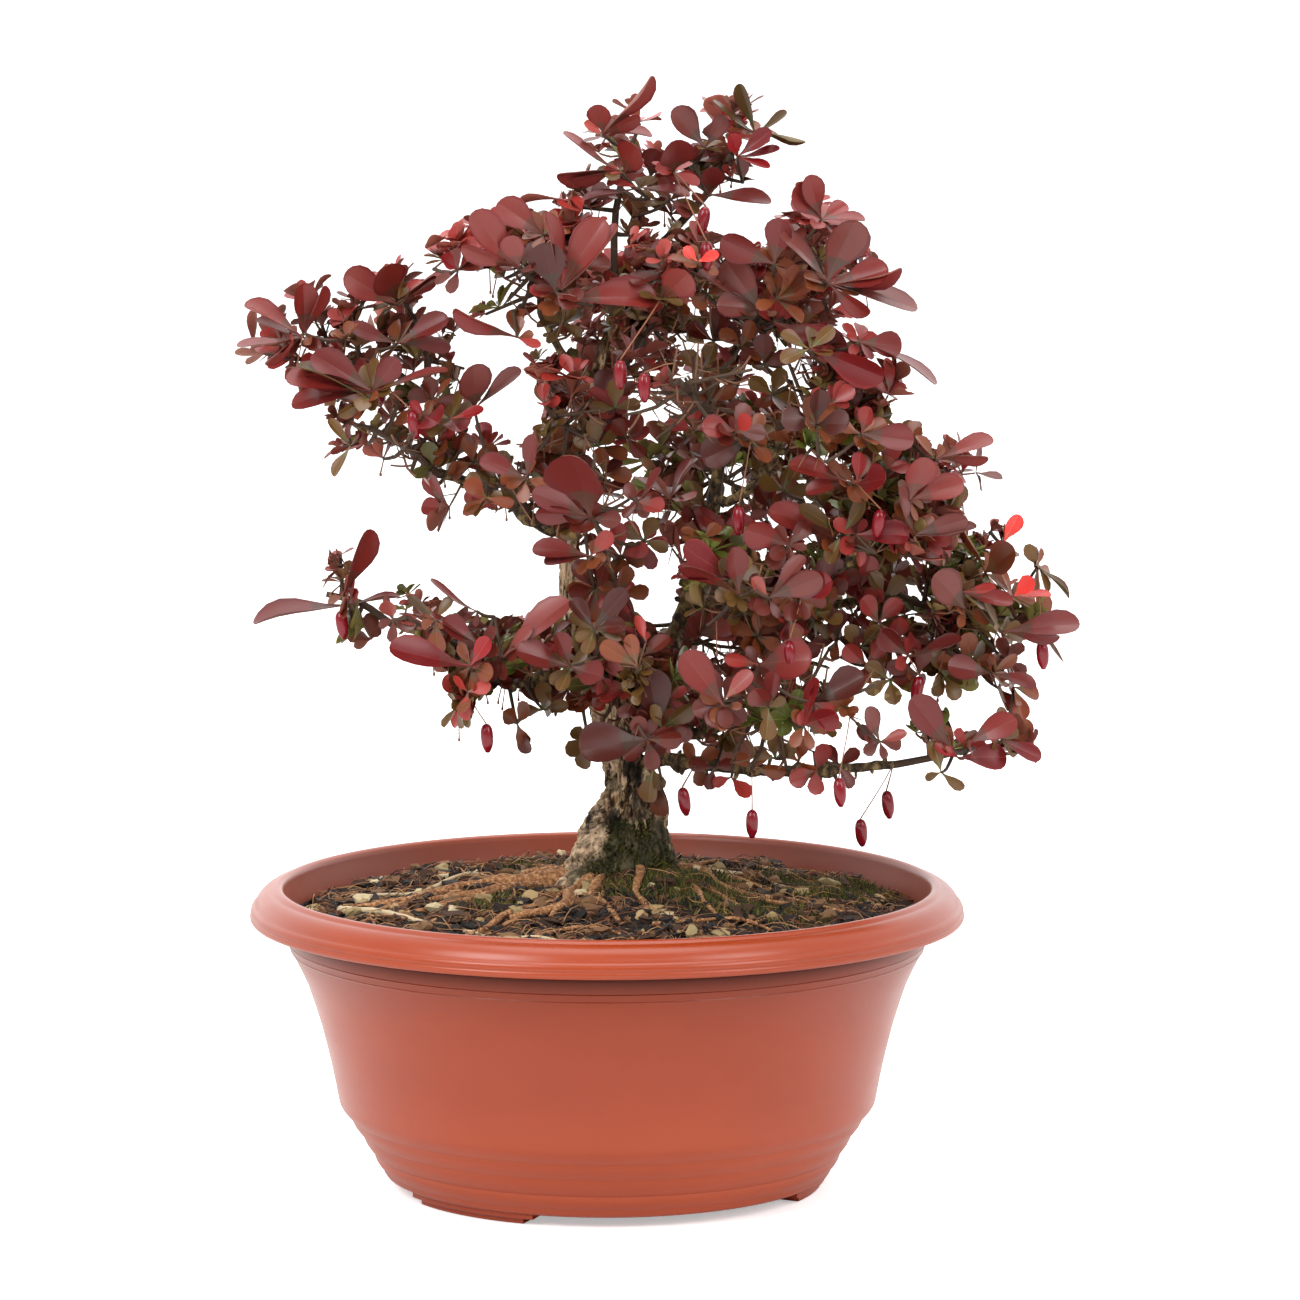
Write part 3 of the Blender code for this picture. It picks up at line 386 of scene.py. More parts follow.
frontSprays = (
    # top
    ("rose", (-1, -26, 369), (44, 27, 4), (99, 12, 8), (149, 8, 4), (12, 17, 3), (21, 14, 5)),
    ("rose", (4, -28, 357), (152, 23, 4), (188, 21, 4), (203, 16, 3)),
    ("wine", (6, -28, 356), (63, 14, 11), (165, 7, 4)),
    ("plum", (11, -28, 351), (195, 20, 3), (-1, 18, 4), (164, 10, 3)),
    ("plum", (23, -22, 356), (79, 13, 12), (168, 7, 5), (-22, 10, 4)),
    ("dusk", (34, -10, 364), (131, 18, 9), (54, 13, 6)),
    ("crimson", (45, -12, 361), (107, 8, 6), (34, 15, 6), (1, 15, 3), (-22, 12, 3)),
    ("olive", (51, -8, 369), (105, 18, 4), (152, 19, 4), (22, 14, 3), (-3, 18, 2)),
    ("plum", (35, -12, 348), (-4, 22, 7), (77, 11, 8)),
    # right shoulder
    ("wine", (73, -44, 341), (109, 17, 8), (135, 16, 10), (9, 15, 4)),
    ("dusk", (75, -48, 320), (69, 25, 15), (124, 24, 6), (-13, 32, 6)),
    ("wine", (76, -48, 319), (12, 21, 10), (3, 25, 4), (-43, 17, 6)),
    ("plum", (57, -46, 326), (80, 16, 10), (157, 20, 10)),
    ("ember", (58, -44, 314), (29, 16, 8), (56, 14, 4)),
    ("dusk", (53, -38, 310), (130, 21, 13), (174, 16, 9), (148, 32, 6)),
    ("wine", (57, -40, 306), (-23, 27, 11), (-38, 18, 6)),
    ("crimson", (69, -54, 298), (-21, 27, 10)),
    ("plum", (86, -52, 300), (-5, 14, 9), (-15, 30, 2)),
    ("dark", (71, -64, 273), (7, 10, 9), (167, 12, 8), (88, 14, 7)),
    ("dark", (49, -58, 268), (205, 18, 11)),
    ("wine", (44, -64, 271), (171, 11, 8), (42, 8, 6)),
    ("plum", (86, -64, 270), (-8, 18, 10), (70, 11, 6)),
    # upper left
    ("dark", (-17, -52, 317), (104, 18, 12), (-45, 9, 6)),
    ("rose", (-15, -52, 318), (60, 28, 12), (93, 27, 5), (39, 30, 5)),
    ("wine", (-14, -52, 314), (9, 32, 11)),
    ("rose", (-29, -52, 325), (133, 26, 12), (163, 21, 5), (108, 12, 8)),
    ("rose", (-21, -48, 336), (142, 19, 10)),
    ("crimson", (-50, -44, 324), (152, 9, 6)),
    ("wine", (-30, -44, 301), (166, 24, 6), (-25, 9, 4)),
    ("rose", (19, -50, 315), (35, 15, 12)),
    ("scarlet", (31, -50, 327), (133, 7, 4), (18, 8, 4)),
    # outer left
    ("rose", (-104, -26, 300), (141, 23, 5), (195, 23, 3), (166, 17, 3), (218, 16, 3)),
    ("wine", (-103, -26, 301), (92, 19, 9), (64, 19, 4)),
    ("rose", (-72, -10, 310), (151, 22, 11), (44, 17, 3)),
    ("wine", (-72, -8, 311), (117, 18, 13), (41, 11, 5), (29, 22, 4)),
    ("plum", (-72, -18, 297), (26, 21, 8), (161, 18, 6), (5, 20, 6)),
    ("plum", (-80, -36, 282), (143, 24, 10), (166, 23, 7), (49, 15, 8)),
    ("wine", (-80, -36, 282), (178, 28, 7), (161, 30, 7), (18, 28, 4)),
    ("olive", (-81, -38, 280), (215, 12, 4), (233, 6, 6), (146, 27, 3)),
    ("crimson", (-62, -40, 274), (-27, 8, 11), (138, 7, 4)),
    ("crimson", (-53, -38, 273), (11, 12, 4), (-55, 10, 9)),
    ("dusk", (-45, -32, 276), (84, 14, 12), (43, 21, 4)),
    ("olive", (-87, -42, 264), (-119, 12, 4), (127, 12, 4)),
    # middle left, with the largest leaf
    ("plum", (-5, -68, 242), (101, 30, 20), (154, 22, 8), (171, 19, 7)),
    ("plum", (11, -62, 247), (48, 15, 4), (-23, 10, 7)),
    ("plum", (-27, -56, 254), (151, 17, 7), (77, 16, 6)),
    ("ember", (-41, -38, 246), (136, 9, 6), (216, 10, 4), (-17, 10, 4)),
    ("plum", (-5, -68, 229), (165, 20, 7), (180, 16, 5), (47, 11, 6)),
    # low left
    ("wine", (-91, -20, 210), (63, 26, 6)),
    ("plum", (-89, -20, 207), (184, 34, 5), (12, 18, 2)),
    ("dusk", (-73, -38, 204), (107, 9, 6), (-3, 8, 4)),
    ("olive", (-58, -48, 205), (133, 13, 4), (59, 10, 4)),
    ("rose", (-44, -48, 208), (156, 20, 3)),
    ("crimson", (-46, -54, 190), (170, 29, 10), (55, 12, 6)),
    ("plum", (-43, -54, 197), (147, 16, 8), (144, 20, 3)),
    ("rose", (-35, -54, 193), (47, 30, 8), (44, 15, 4)),
    ("plum", (-12, -56, 190), (163, 20, 10), (111, 13, 7), (-22, 13, 9)),
    ("dark", (-4, -58, 203), (123, 13, 6), (52, 18, 7), (10, 11, 6)),
    ("wine", (-47, -54, 181), (-94, 10, 5), (135, 8, 3), (15, 9, 5)),
    # low middle
    ("dark", (14, -62, 166), (186, 22, 15), (-4, 12, 7)),
    ("dark", (18, -58, 168), (97, 22, 12), (-8, 10, 5)),
    ("olive", (19, -58, 169), (38, 14, 7), (116, 10, 5)),
    ("wine", (40, -68, 178), (127, 25, 11)),
    ("pink", (40, -68, 180), (50, 14, 6)),
    ("plum", (55, -72, 178), (133, 10, 8), (79, 14, 6)),
    ("wine", (52, -58, 191), (11, 16, 14), (170, 12, 5)),
    ("dark", (70, -72, 180), (26, 20, 11)),
    ("crimson", (67, -72, 172), (23, 14, 9), (83, 17, 4)),
    # middle right
    ("plum", (45, -70, 216), (98, 18, 8), (144, 24, 5)),
    ("dusk", (55, -70, 215), (25, 20, 10), (135, 10, 5), (50, 19, 5)),
    ("crimson", (66, -68, 215), (29, 14, 9)),
    ("crimson", (43, -70, 222), (152, 22, 10), (170, 18, 6)),
    ("wine", (82, -56, 253), (159, 21, 8), (188, 15, 6)),
    ("crimson", (85, -54, 252), (82, 12, 5), (7, 12, 10)),
    ("rose", (103, -58, 247), (75, 17, 11), (19, 19, 9)),
    ("dusk", (105, -56, 235), (21, 19, 8), (-2, 21, 4), (118, 20, 5)),
    ("rose", (112, -50, 260), (27, 21, 5), (6, 18, 4)),
    ("wine", (78, -52, 233), (151, 25, 10)),
    ("olive", (80, -54, 235), (143, 18, 6), (50, 15, 5), (-116, 11, 5)),
    ("wine", (62, -62, 232), (159, 17, 10)),
    ("crimson", (85, -56, 235), (3, 18, 9)),
    # right tips
    ("dusk", (123, -34, 207), (129, 18, 12)),
    ("wine", (122, -34, 213), (0, 12, 6), (-17, 18, 6)),
    ("ember", (130, -30, 219), (44, 12, 11), (108, 18, 3)),
    ("scarlet", (137, -18, 228), (64, 12, 6)),
    ("scarlet", (140, -30, 211), (41, 10, 6), (2, 13, 2)),
    ("olive", (149, -18, 220), (122, 9, 5), (-36, 16, 2), (-59, 10, 3)),
    ("plum", (136, -32, 199), (9, 27, 8), (-7, 20, 4)),
    ("plum", (133, -28, 184), (171, 16, 9), (-11, 16, 5)),
    ("wine", (136, -14, 177), (-46, 11, 6)),
    ("plum", (104, -28, 190), (141, 13, 8), (15, 20, 5)),
    # low right
    ("plum", (119, -38, 159), (131, 25, 11)),
    ("wine", (124, -38, 161), (33, 19, 9)),
    ("crimson", (121, -38, 156), (5, 17, 9), (148, 10, 5)),
    ("crimson", (136, -36, 162), (-26, 15, 6)),
    ("olive", (115, -38, 151), (-38, 10, 4), (-159, 6, 3), (102, 12, 6)),
    ("dusk", (93, -62, 165), (114, 15, 6), (19, 10, 4)),
    # thin places filled with small leaves
    ("olive", (-15, -20, 304), (60, 10, 6), (150, 9, 5), (-30, 8, 4)),
    ("dark", (-22, -18, 310), (100, 11, 7), (20, 9, 5), (190, 10, 5)),
    ("plum", (15, -6, 353), (80, 12, 8), (160, 10, 6), (10, 10, 6)),
    ("dusk", (22, -8, 346), (40, 11, 7), (-40, 9, 5), (120, 9, 5)),
    ("plum", (-59, -15, 262), (120, 12, 7), (50, 11, 7), (200, 10, 6)),
    ("olive", (-66, -14, 266), (90, 10, 6), (170, 11, 6), (-60, 8, 4)),
    ("dark", (-52, -16, 257), (70, 11, 7), (-10, 10, 6), (150, 9, 5)),
    ("moss", (-60, -15, 255), (30, 9, 5), (100, 9, 6), (210, 8, 4)),
    ("olive", (3, -20, 275), (90, 10, 6), (10, 9, 5), (180, 9, 5)),
    ("dark", (7, -22, 265), (50, 11, 7), (130, 9, 6), (-50, 9, 5)),
    ("plum", (5, -22, 224), (100, 12, 7), (20, 10, 6), (170, 9, 5)),
    ("olive", (13, -20, 229), (70, 10, 6), (-20, 9, 5), (150, 9, 5)),
    ("olive", (61, -26, 247), (80, 11, 7), (0, 9, 5), (160, 10, 6)),
    ("dark", (57, -24, 240), (120, 11, 7), (40, 9, 5), (200, 8, 4)),
    ("plum", (60, -22, 196), (90, 12, 7), (20, 11, 6), (160, 11, 6)),
    ("olive", (71, -22, 201), (60, 11, 7), (140, 10, 6), (-30, 9, 5)),
    ("dark", (80, -20, 195), (100, 12, 8), (10, 10, 6), (190, 9, 5)),
    ("olive", (88, -20, 192), (50, 11, 7), (-20, 10, 6), (130, 10, 6)),
    ("plum", (99, -18, 192), (80, 12, 7), (160, 10, 6), (0, 10, 6)),
    ("dark", (66, -24, 188), (110, 10, 6), (30, 10, 6), (-60, 8, 4)),
    ("olive", (-6, -8, 157), (200, 9, 6), (250, 10, 6), (140, 8, 5)),
    # along the low right bough and under the right end
    ("olive", (16, -30, 151), (-100, 12, 7), (-70, 8, 5)),
    ("umber", (19, -30, 147), (-95, 13, 7)),
    ("umber", (31, -32, 153), (120, 9, 5), (40, 9, 5), (-80, 8, 5)),
    ("dark", (37, -34, 152), (170, 9, 5), (20, 8, 5), (-110, 8, 5)),
    ("wine", (43, -36, 149), (-50, 9, 6), (200, 7, 4)),
    ("umber", (50, -38, 152), (0, 12, 6), (60, 9, 5), (130, 9, 5)),
    ("olive", (58, -40, 156), (100, 10, 6), (160, 9, 5), (30, 9, 5)),
    ("ember", (66, -40, 155), (80, 10, 6), (140, 9, 5), (-40, 8, 5)),
    ("plum", (72, -40, 152), (200, 10, 7), (-90, 8, 6), (70, 10, 6)),
    ("dark", (80, -36, 153), (40, 9, 5), (-60, 9, 5), (120, 9, 5)),
    ("olive", (98, -22, 181), (200, 10, 6), (150, 11, 6), (-20, 10, 6), (-80, 9, 6)),
    ("dark", (108, -22, 183), (160, 12, 6), (200, 9, 5), (80, 10, 6)),
    ("olive", (117, -20, 182), (30, 9, 5), (-60, 9, 6), (-120, 8, 5), (110, 10, 6)),
    ("umber", (126, -20, 186), (100, 12, 7), (170, 12, 7), (20, 9, 5)),
    ("dark", (139, -18, 187), (60, 9, 5), (110, 9, 5), (200, 9, 6), (-40, 8, 5)),
    ("ember", (141, -18, 178), (-75, 12, 6)),
    ("plum", (90, -24, 186), (140, 11, 7), (60, 11, 6), (-120, 9, 6)),
    # beside the trunk and in the left boughs
    ("dark", (-4, -24, 213), (120, 12, 7), (60, 11, 7), (190, 9, 6)),
    ("umber", (5, -24, 211), (80, 11, 6), (10, 10, 6), (150, 9, 5)),
    ("olive", (-3, -22, 262), (100, 10, 6), (170, 9, 5), (30, 9, 5)),
    ("umber", (-1, -22, 252), (90, 11, 6), (0, 10, 6), (190, 10, 6)),
    ("dark", (54, -22, 290), (90, 11, 7), (160, 10, 6), (20, 10, 6)),
    ("olive", (57, -22, 280), (70, 10, 6), (140, 10, 6), (-10, 9, 5)),
    ("umber", (-46, -18, 256), (100, 10, 6), (30, 10, 6), (200, 9, 5)),
    ("olive", (-37, -18, 250), (80, 11, 6), (150, 9, 5), (-60, 9, 5)),
    ("dark", (-60, -18, 277), (90, 10, 6), (0, 10, 6), (160, 9, 6)),
    ("olive", (-54, -16, 268), (110, 9, 5), (40, 9, 5), (-80, 8, 4)),
    ("umber", (-31, -18, 165), (60, 10, 6), (140, 9, 6), (-70, 8, 5)),
    ("olive", (-22, -18, 170), (90, 10, 6), (180, 9, 5), (10, 9, 5)),
    ("dark", (80, -12, 212), (100, 11, 7), (30, 10, 6), (170, 10, 6)),
    ("plum", (88, -12, 212), (70, 12, 7), (140, 10, 6), (-30, 9, 6)),
    ("olive", (96, -12, 209), (120, 10, 6), (40, 10, 6), (-80, 9, 5)),
    ("umber", (63, -30, 203), (110, 11, 7), (40, 10, 6), (-70, 9, 5), (180, 10, 6)),
    ("dark", (74, -16, 212), (80, 11, 7), (150, 10, 6), (10, 10, 6)),
    ("olive", (72, -26, 205), (60, 10, 6), (-20, 10, 6), (140, 9, 5)),
    ("plum", (94, -22, 201), (120, 11, 7), (50, 11, 6), (-60, 9, 6)),
    ("umber", (52, -28, 197), (90, 10, 6), (160, 10, 6), (-30, 9, 5)),
    ("olive", (47, -28, 205), (70, 10, 6), (140, 9, 5), (0, 9, 5)),
    # behind the middle of the crown
    ("dark", (37, -20, 298), (80, 12, 7), (150, 11, 6), (20, 10, 6)),
    ("olive", (34, -18, 288), (70, 11, 6), (140, 10, 6), (-10, 9, 5)),
    ("umber", (36, -18, 277), (100, 12, 7), (30, 10, 6), (170, 10, 6)),
    ("dark", (44, -16, 268), (80, 11, 7), (0, 10, 6), (150, 10, 6)),
    ("olive", (50, -18, 262), (110, 10, 6), (40, 10, 6), (-70, 9, 5)),
    ("plum", (30, -16, 267), (90, 11, 7), (20, 10, 6), (160, 10, 6)),
    ("umber", (46, -22, 296), (60, 11, 6), (130, 10, 6), (-30, 9, 5)),
)

rng = random.Random(growth["seed"])
twigs = Tubes()
sideTwigs = Tubes()
leafBins = {}
nodesForStalks = []
nodesForSpines = []
skeleton = []
leafCount = 0


def addLeaf(tint, foot, way, face, length, width, arch, fold):
    global leafCount
    leafBins.setdefault(tint, []).append((foot, way, face, length, width, arch, fold))
    leafCount += 1


limbSpots = [(spot, radius + (flareAt(spot.z) if key == "trunk" else 0))
             for key, path in paths.items() for spot, radius in smoothPath(path, 3)]
limbArray = np.array([(*spot, radius) for spot, radius in limbSpots])


def touchesLimb(spot, clearance=0.8):
    gaps = np.sqrt(((limbArray[:, :3] - np.array(spot)) ** 2).sum(1)) - limbArray[:, 3]
    return gaps.min() < clearance


def openness(spot, outward):
    # 1 at the outside of the crown, 0 deep inside it
    ahead = 0
    for step in (8, 14, 20, 28, 36):
        if any(room.holds(spot + outward * step) for room in rooms):
            ahead += 1
    return 1 - ahead / 5


def outwardFrom(spot):
    away = spot - crownMiddle
    away.z *= 0.6
    return away.normalized()


sprayFeet = np.array([row[1] for row in frontSprays], float)


def hidesSpray(spot):
    # nothing of the filling stands in front of a spray read from the photo
    high = sprayFeet[:, 2] + 0.126 * sprayFeet[:, 1]
    near = (abs(sprayFeet[:, 0] - spot.x) < 13) & (abs(high - spot.z - 0.126 * spot.y) < 13)
    return bool((near & (spot.y < sprayFeet[:, 1] + 4)).any())


def tintFor(open_, spot):
    roll = rng.random()
    # lower leaves are dealt darker tints and upper and far-left ones lighter: painted shade and painted light
    if spot.z < growth["shadedBelow"]:
        open_ -= 0.32
    elif spot.z > growth["sunlitAbove"] or spot.x < growth["sunlitLeft"]:
        open_ += 0.28
    if open_ > 0.95:
        names, weights = ("plum", "wine", "dusk", "rose", "dark", "umber"), (27, 24, 16, 17, 9, 7)
    elif open_ > 0.55:
        names, weights = ("plum", "wine", "dusk", "umber", "dark", "crimson"), (30, 22, 12, 10, 20, 6)
    elif open_ > 0.2:
        names, weights = ("plum", "olive", "wine", "umber", "dark", "moss"), (22, 20, 10, 16, 24, 8)
    else:
        names, weights = ("olive", "moss", "green", "umber", "dark", "plum"), (24, 20, 13, 14, 22, 7)
    total = sum(weights)
    for name, weight in zip(names, weights):
        if roll < weight / total:
            return name
        roll -= weight / total
    return names[0]


def rosette(room, foot, axis, size, count, tint):
    # a cluster of leaves on one short spur
    turn = rng.uniform(0, 2 * math.pi)
    side = axis.orthogonal().normalized()
    for k in range(count):
        lean = math.radians(rng.uniform(*growth["lean"]))
        length = size * rng.uniform(0.55, 1.0)
        across = Matrix.Rotation(turn + k * goldenTurn + rng.uniform(-0.35, 0.35), 3, axis) @ side
        way = (axis * math.cos(lean) + across * math.sin(lean)).normalized()
        for shorter in (1.0, 0.72):
            tip = foot + way * length * shorter
            if room.holds(tip) and not inSky(tip) and not touchesLimb(foot + way * length * 0.6):
                face = (axis - way * axis.dot(way)).normalized()
                face = Matrix.Rotation(rng.uniform(-0.5, 0.5), 3, way) @ face
                width = length * shorter * rng.uniform(*growth["leafWidth"])
                addLeaf(tint, foot, way, face, length * shorter, width, rng.uniform(-0.5, 0.35), rng.uniform(0.1, 0.4))
                break


def shootPath(start, way, length, thick, thin, lift):
    middle = start + way * length * 0.5 - up * lift * 0.25 * length
    end = start + way * length + up * lift * 0.2 * length
    kink = way.orthogonal().normalized() * rng.uniform(-0.06, 0.06) * length
    return smoothPath([(start, thick), (middle + kink, 0.5 * (thick + thin)), (end, thin)], 2)


def dressShoot(room, path, length, radii, order):
    # spurs with their rosettes along a shoot, and finer twigs that branch from it
    global leafCount
    nodes = max(1, int(length / growth["nodeSpacing"]))
    for j in range(nodes):
        share = (j + 1) / nodes
        spot, heading, radius = alongPath(path, min(share, 1.0))
        outward = outwardFrom(spot)
        open_ = openness(spot, outward)
        swing = Matrix.Rotation(j * goldenTurn * 1.0 + rng.uniform(-0.4, 0.4), 3, heading) @ heading.orthogonal().normalized()
        axis = (up * 0.75 + outward * 0.55 + swing * (0.55 if share < 1 else 0.2) + heading * (0.8 if share == 1 else 0.1)).normalized()
        small, large = growth["innerLeaf"], growth["outerLeaf"]
        size = rng.uniform(small[0] + (large[0] - small[0]) * open_, small[1] + (large[1] - small[1]) * open_)
        count = rng.randint(*growth["leavesAtNode"]) + (1 if share == 1 else 0)
        foot = spot + axis * radius
        if leafCount < growth["leafLimit"] and not hidesSpray(foot) and not inSky(foot):
            rosette(room, foot, axis, size, count, tintFor(open_, spot))
        nodesForSpines.append((spot, heading, swing))
        nodesForStalks.append((spot, open_))
        skeleton.append((spot, radius))
    if order:
        return
    for j in range(int(length / growth["sideSpacing"])):
        share = (j + 0.6) * growth["sideSpacing"] / length
        if share > 0.95:
            break
        spot, heading, radius = alongPath(path, share)
        swing = Matrix.Rotation(j * goldenTurn + 1.1, 3, heading) @ heading.orthogonal().normalized()
        way = (swing + heading * rng.uniform(0.3, 0.9) + up * 0.25).normalized()
        sideLength = min(rng.uniform(*growth["sideLength"]), room.far(spot, way) * 0.8)
        if sideLength < 4 or inSky(spot + way * sideLength):
            continue
        side = shootPath(spot, way, sideLength, *growth["sideRadii"], rng.uniform(0, 0.5))
        sideTwigs.add(side, 4)
        dressShoot(room, side, sideLength, growth["sideRadii"], 1)


def growMass(index):
    name, centre, half, limb, share, lead, shoots, fullness = masses[index]
    shoots = round((shoots + 2) * fullness)
    room = rooms[index]
    start, outward = springing(paths[limb], share, room.centre, limb)
    knee = start + outward * 3
    lead = Vector(lead).normalized()
    end = room.centre + lead * 0.22 * room.reach(lead)
    bend = knee.lerp(room.centre, 0.6) + Vector((rng.uniform(-2, 2), rng.uniform(-2, 2), rng.uniform(-2, 1)))
    stem = smoothPath([(start, 1.5), (knee, 1.45), (bend, 1.3), (end, 1.05)], 3)
    twigs.add(stem, 6)
    for spot, radius in stem[2:]:
        skeleton.append((spot, radius))
    shootWays = [(end, lead)]
    for k in range(shoots):
        spot, heading, _ = alongPath(stem, 0.35 + 0.6 * (k + 0.5) / shoots)
        swing = Matrix.Rotation(k * goldenTurn + rng.uniform(-0.3, 0.3), 3, heading) @ heading.orthogonal().normalized()
        shootWays.append((spot, (swing + heading * rng.uniform(-0.25, 0.35)).normalized()))
    for spot, way in shootWays:
        reach = room.far(spot, way)
        length = reach * rng.uniform(*growth["shootReach"])
        if length < 5 or inSky(spot + way * length):
            length *= 0.55
            if length < 5 or inSky(spot + way * length):
                continue
        path = shootPath(spot, way, length, *growth["shootRadii"], rng.uniform(0, 0.5))
        twigs.add(path, 5)
        dressShoot(room, path, length, growth["shootRadii"], 0)


class BesideWood:
    # the leaves of these shoots keep near their wood without a room
    def holds(self, spot):
        return True


oldWood = dict(spacing=6.0, length=(5, 14), radii=(0.6, 0.4), lift=0.3, lowest=160, clear=dict(trunk=0.3))


def dressWood(name):
    # leafy shoots along the bare length of a limb, a golden turn apart
    path = paths[name]
    length = sum((b[0] - a[0]).length for a, b in zip(path, path[1:]))
    clear = oldWood["clear"].get(name, 0.12)
    count = int(length * (1 - clear) / oldWood["spacing"])
    for j in range(count):
        spot, heading, radius = alongPath(path, clear + (1 - clear) * (j + 0.5) / count)
        swing = Matrix.Rotation(j * goldenTurn, 3, heading) @ heading.orthogonal().normalized()
        way = (swing + up * 0.3).normalized()
        reach = rng.uniform(*oldWood["length"]) + radius
        if spot.z < oldWood["lowest"] or inSky(spot + way * reach):
            continue
        side = shootPath(spot, way, reach, *oldWood["radii"], oldWood["lift"])
        sideTwigs.add(side, 4)
        dressShoot(BesideWood(), side, reach, oldWood["radii"], 1)


for index in range(len(masses)):
    growMass(index)
for row in boughs:
    dressWood(row[0])
dressWood("trunk")
stage("grew %d leaves in %d masses" % (leafCount, len(masses)))

# each spray from the photo gets its own twig from the nearest wood
view = Vector((0, -math.cos(0.125), math.sin(0.125)))
deepLeaf = 12  # leaves of the sprays that are longer get the deeper tint
sprayFringe = dict(leaves=(4, 7), lean=(50, 105), length=(6, 12), behind=3.5, lowest=157)
skeletonArray = np.array([tuple(spot) for spot, _ in skeleton])
for tint, foot, *leaves in frontSprays:
    foot = Vector(foot)
    gaps = ((skeletonArray - np.array(foot)) ** 2).sum(1)
    near = skeleton[int(gaps.argmin())][0]
    if (foot - near).length > 1:
        middle = near.lerp(foot, 0.55) - up * 0.08 * (foot - near).length
        twigs.add(smoothPath([(near, 0.75), (middle, 0.62), (foot, 0.5)], 3), 5)
        nodesForStalks.append((foot, 0.8))
    # smaller leaves round the foot of the spray, as every spur has
    axis = (outwardFrom(foot) + up * 0.5 + view * 0.3).normalized()
    side = axis.orthogonal().normalized()
    fringe = rng.choice(("plum", "umber", "dark", "umber", "olive"))
    spurFoot = foot - view * sprayFringe["behind"]
    for k in range(rng.randint(*sprayFringe["leaves"]) if foot.z > sprayFringe["lowest"] else 0):
        lean = math.radians(rng.uniform(*sprayFringe["lean"]))
        across = Matrix.Rotation(k * goldenTurn + rng.uniform(-0.4, 0.4), 3, axis) @ side
        way = (axis * math.cos(lean) + across * math.sin(lean)).normalized()
        length = rng.uniform(*sprayFringe["length"])
        if not inSky(foot + way * length):
            face = (axis - way * axis.dot(way)).normalized()
            width = length * rng.uniform(*growth["leafWidth"])
            addLeaf(fringe, spurFoot, way, face, length, width, rng.uniform(-0.5, 0.3), rng.uniform(0.1, 0.4))
    for turn, length, width in leaves:
        angle = math.radians(turn)
        flat = Vector((math.cos(angle), -math.sin(angle) * 0.125, math.sin(angle)))
        trueLength = max(length, width / 0.63)
        toward = math.sqrt(max(0.0, 1 - (length / trueLength) ** 2)) + rng.uniform(0.0, 0.25)
        way = (flat * math.cos(math.asin(min(0.95, toward))) + view * min(0.95, toward)).normalized()
        trueWidth = max(width * 1.08, 0.44 * trueLength)
        face = (view - way * view.dot(way)).normalized()
        turned = math.acos(min(1.0, width / trueWidth))
        one, other = (Matrix.Rotation(s * turned, 3, way) @ face for s in (1, -1))
        face = one if (one.z > other.z) == (rng.random() < 0.75) else other
        deep = "deep" + tint.capitalize() if trueLength > deepLeaf else tint
        addLeaf(deep, foot, way, face, trueLength, trueWidth, rng.uniform(-0.5, 0.4), rng.uniform(0.15, 0.5))
stage("set %d sprays from the photo" % len(frontSprays))


# materials


def srgb(r, g, b):
    def one(v):
        v /= 255
        return v / 12.92 if v <= 0.04045 else ((v + 0.055) / 1.055) ** 2.4
    return (one(r), one(g), one(b), 1)


def newMaterial(name, colour, roughness, **sockets):
    material = bpy.data.materials.new(name)
    material.use_nodes = True
    shader = material.node_tree.nodes["Principled BSDF"]
    shader.inputs["Base Color"].default_value = colour
    shader.inputs["Roughness"].default_value = roughness
    for socket, value in sockets.items():
        shader.inputs[socket.replace("_", " ")].default_value = value
    material.diffuse_color = colour
    return material


def addNode(tree, kind, **values):
    node = tree.nodes.new(kind)
    for key, value in values.items():
        if key in node.inputs:
            node.inputs[key].default_value = value
        else:
            setattr(node, key, value)
    return node


def grainGroup():
    # speckle and relief at one scale, shared by bark, soil and pot: a mask and a height
    group = bpy.data.node_groups.new("fineGrain", "ShaderNodeTree")
    face = group.interface
    face.new_socket("Scale", in_out="INPUT", socket_type="NodeSocketFloat").default_value = 100
    face.new_socket("Stretch", in_out="INPUT", socket_type="NodeSocketVector").default_value = (1, 1, 1)
    face.new_socket("Mask", in_out="OUTPUT", socket_type="NodeSocketFloat")
    face.new_socket("Height", in_out="OUTPUT", socket_type="NodeSocketFloat")
    inside = addNode(group, "NodeGroupInput")
    outside = addNode(group, "NodeGroupOutput")
    place = addNode(group, "ShaderNodeTexCoord")
    stretch = addNode(group, "ShaderNodeVectorMath", operation="MULTIPLY")
    coarse = addNode(group, "ShaderNodeTexNoise", Detail=6, Roughness=0.62)
    cells = addNode(group, "ShaderNodeTexVoronoi", feature="F1")
    double = addNode(group, "ShaderNodeMath", operation="MULTIPLY")
    double.inputs[1].default_value = 2.3
    mix = addNode(group, "ShaderNodeMath", operation="MULTIPLY_ADD")
    mix.inputs[1].default_value = 0.45
    links = group.links
    links.new(place.outputs["Object"], stretch.inputs[0])
    links.new(inside.outputs["Stretch"], stretch.inputs[1])
    links.new(stretch.outputs[0], coarse.inputs["Vector"])
    links.new(stretch.outputs[0], cells.inputs["Vector"])
    links.new(inside.outputs["Scale"], coarse.inputs["Scale"])
    links.new(inside.outputs["Scale"], double.inputs[0])
    links.new(double.outputs[0], cells.inputs["Scale"])
    links.new(cells.outputs["Distance"], mix.inputs[0])
    links.new(coarse.outputs["Fac"], mix.inputs[2])
    links.new(coarse.outputs["Fac"], outside.inputs["Mask"])
    links.new(mix.outputs[0], outside.inputs["Height"])
    return group


grain = grainGroup()


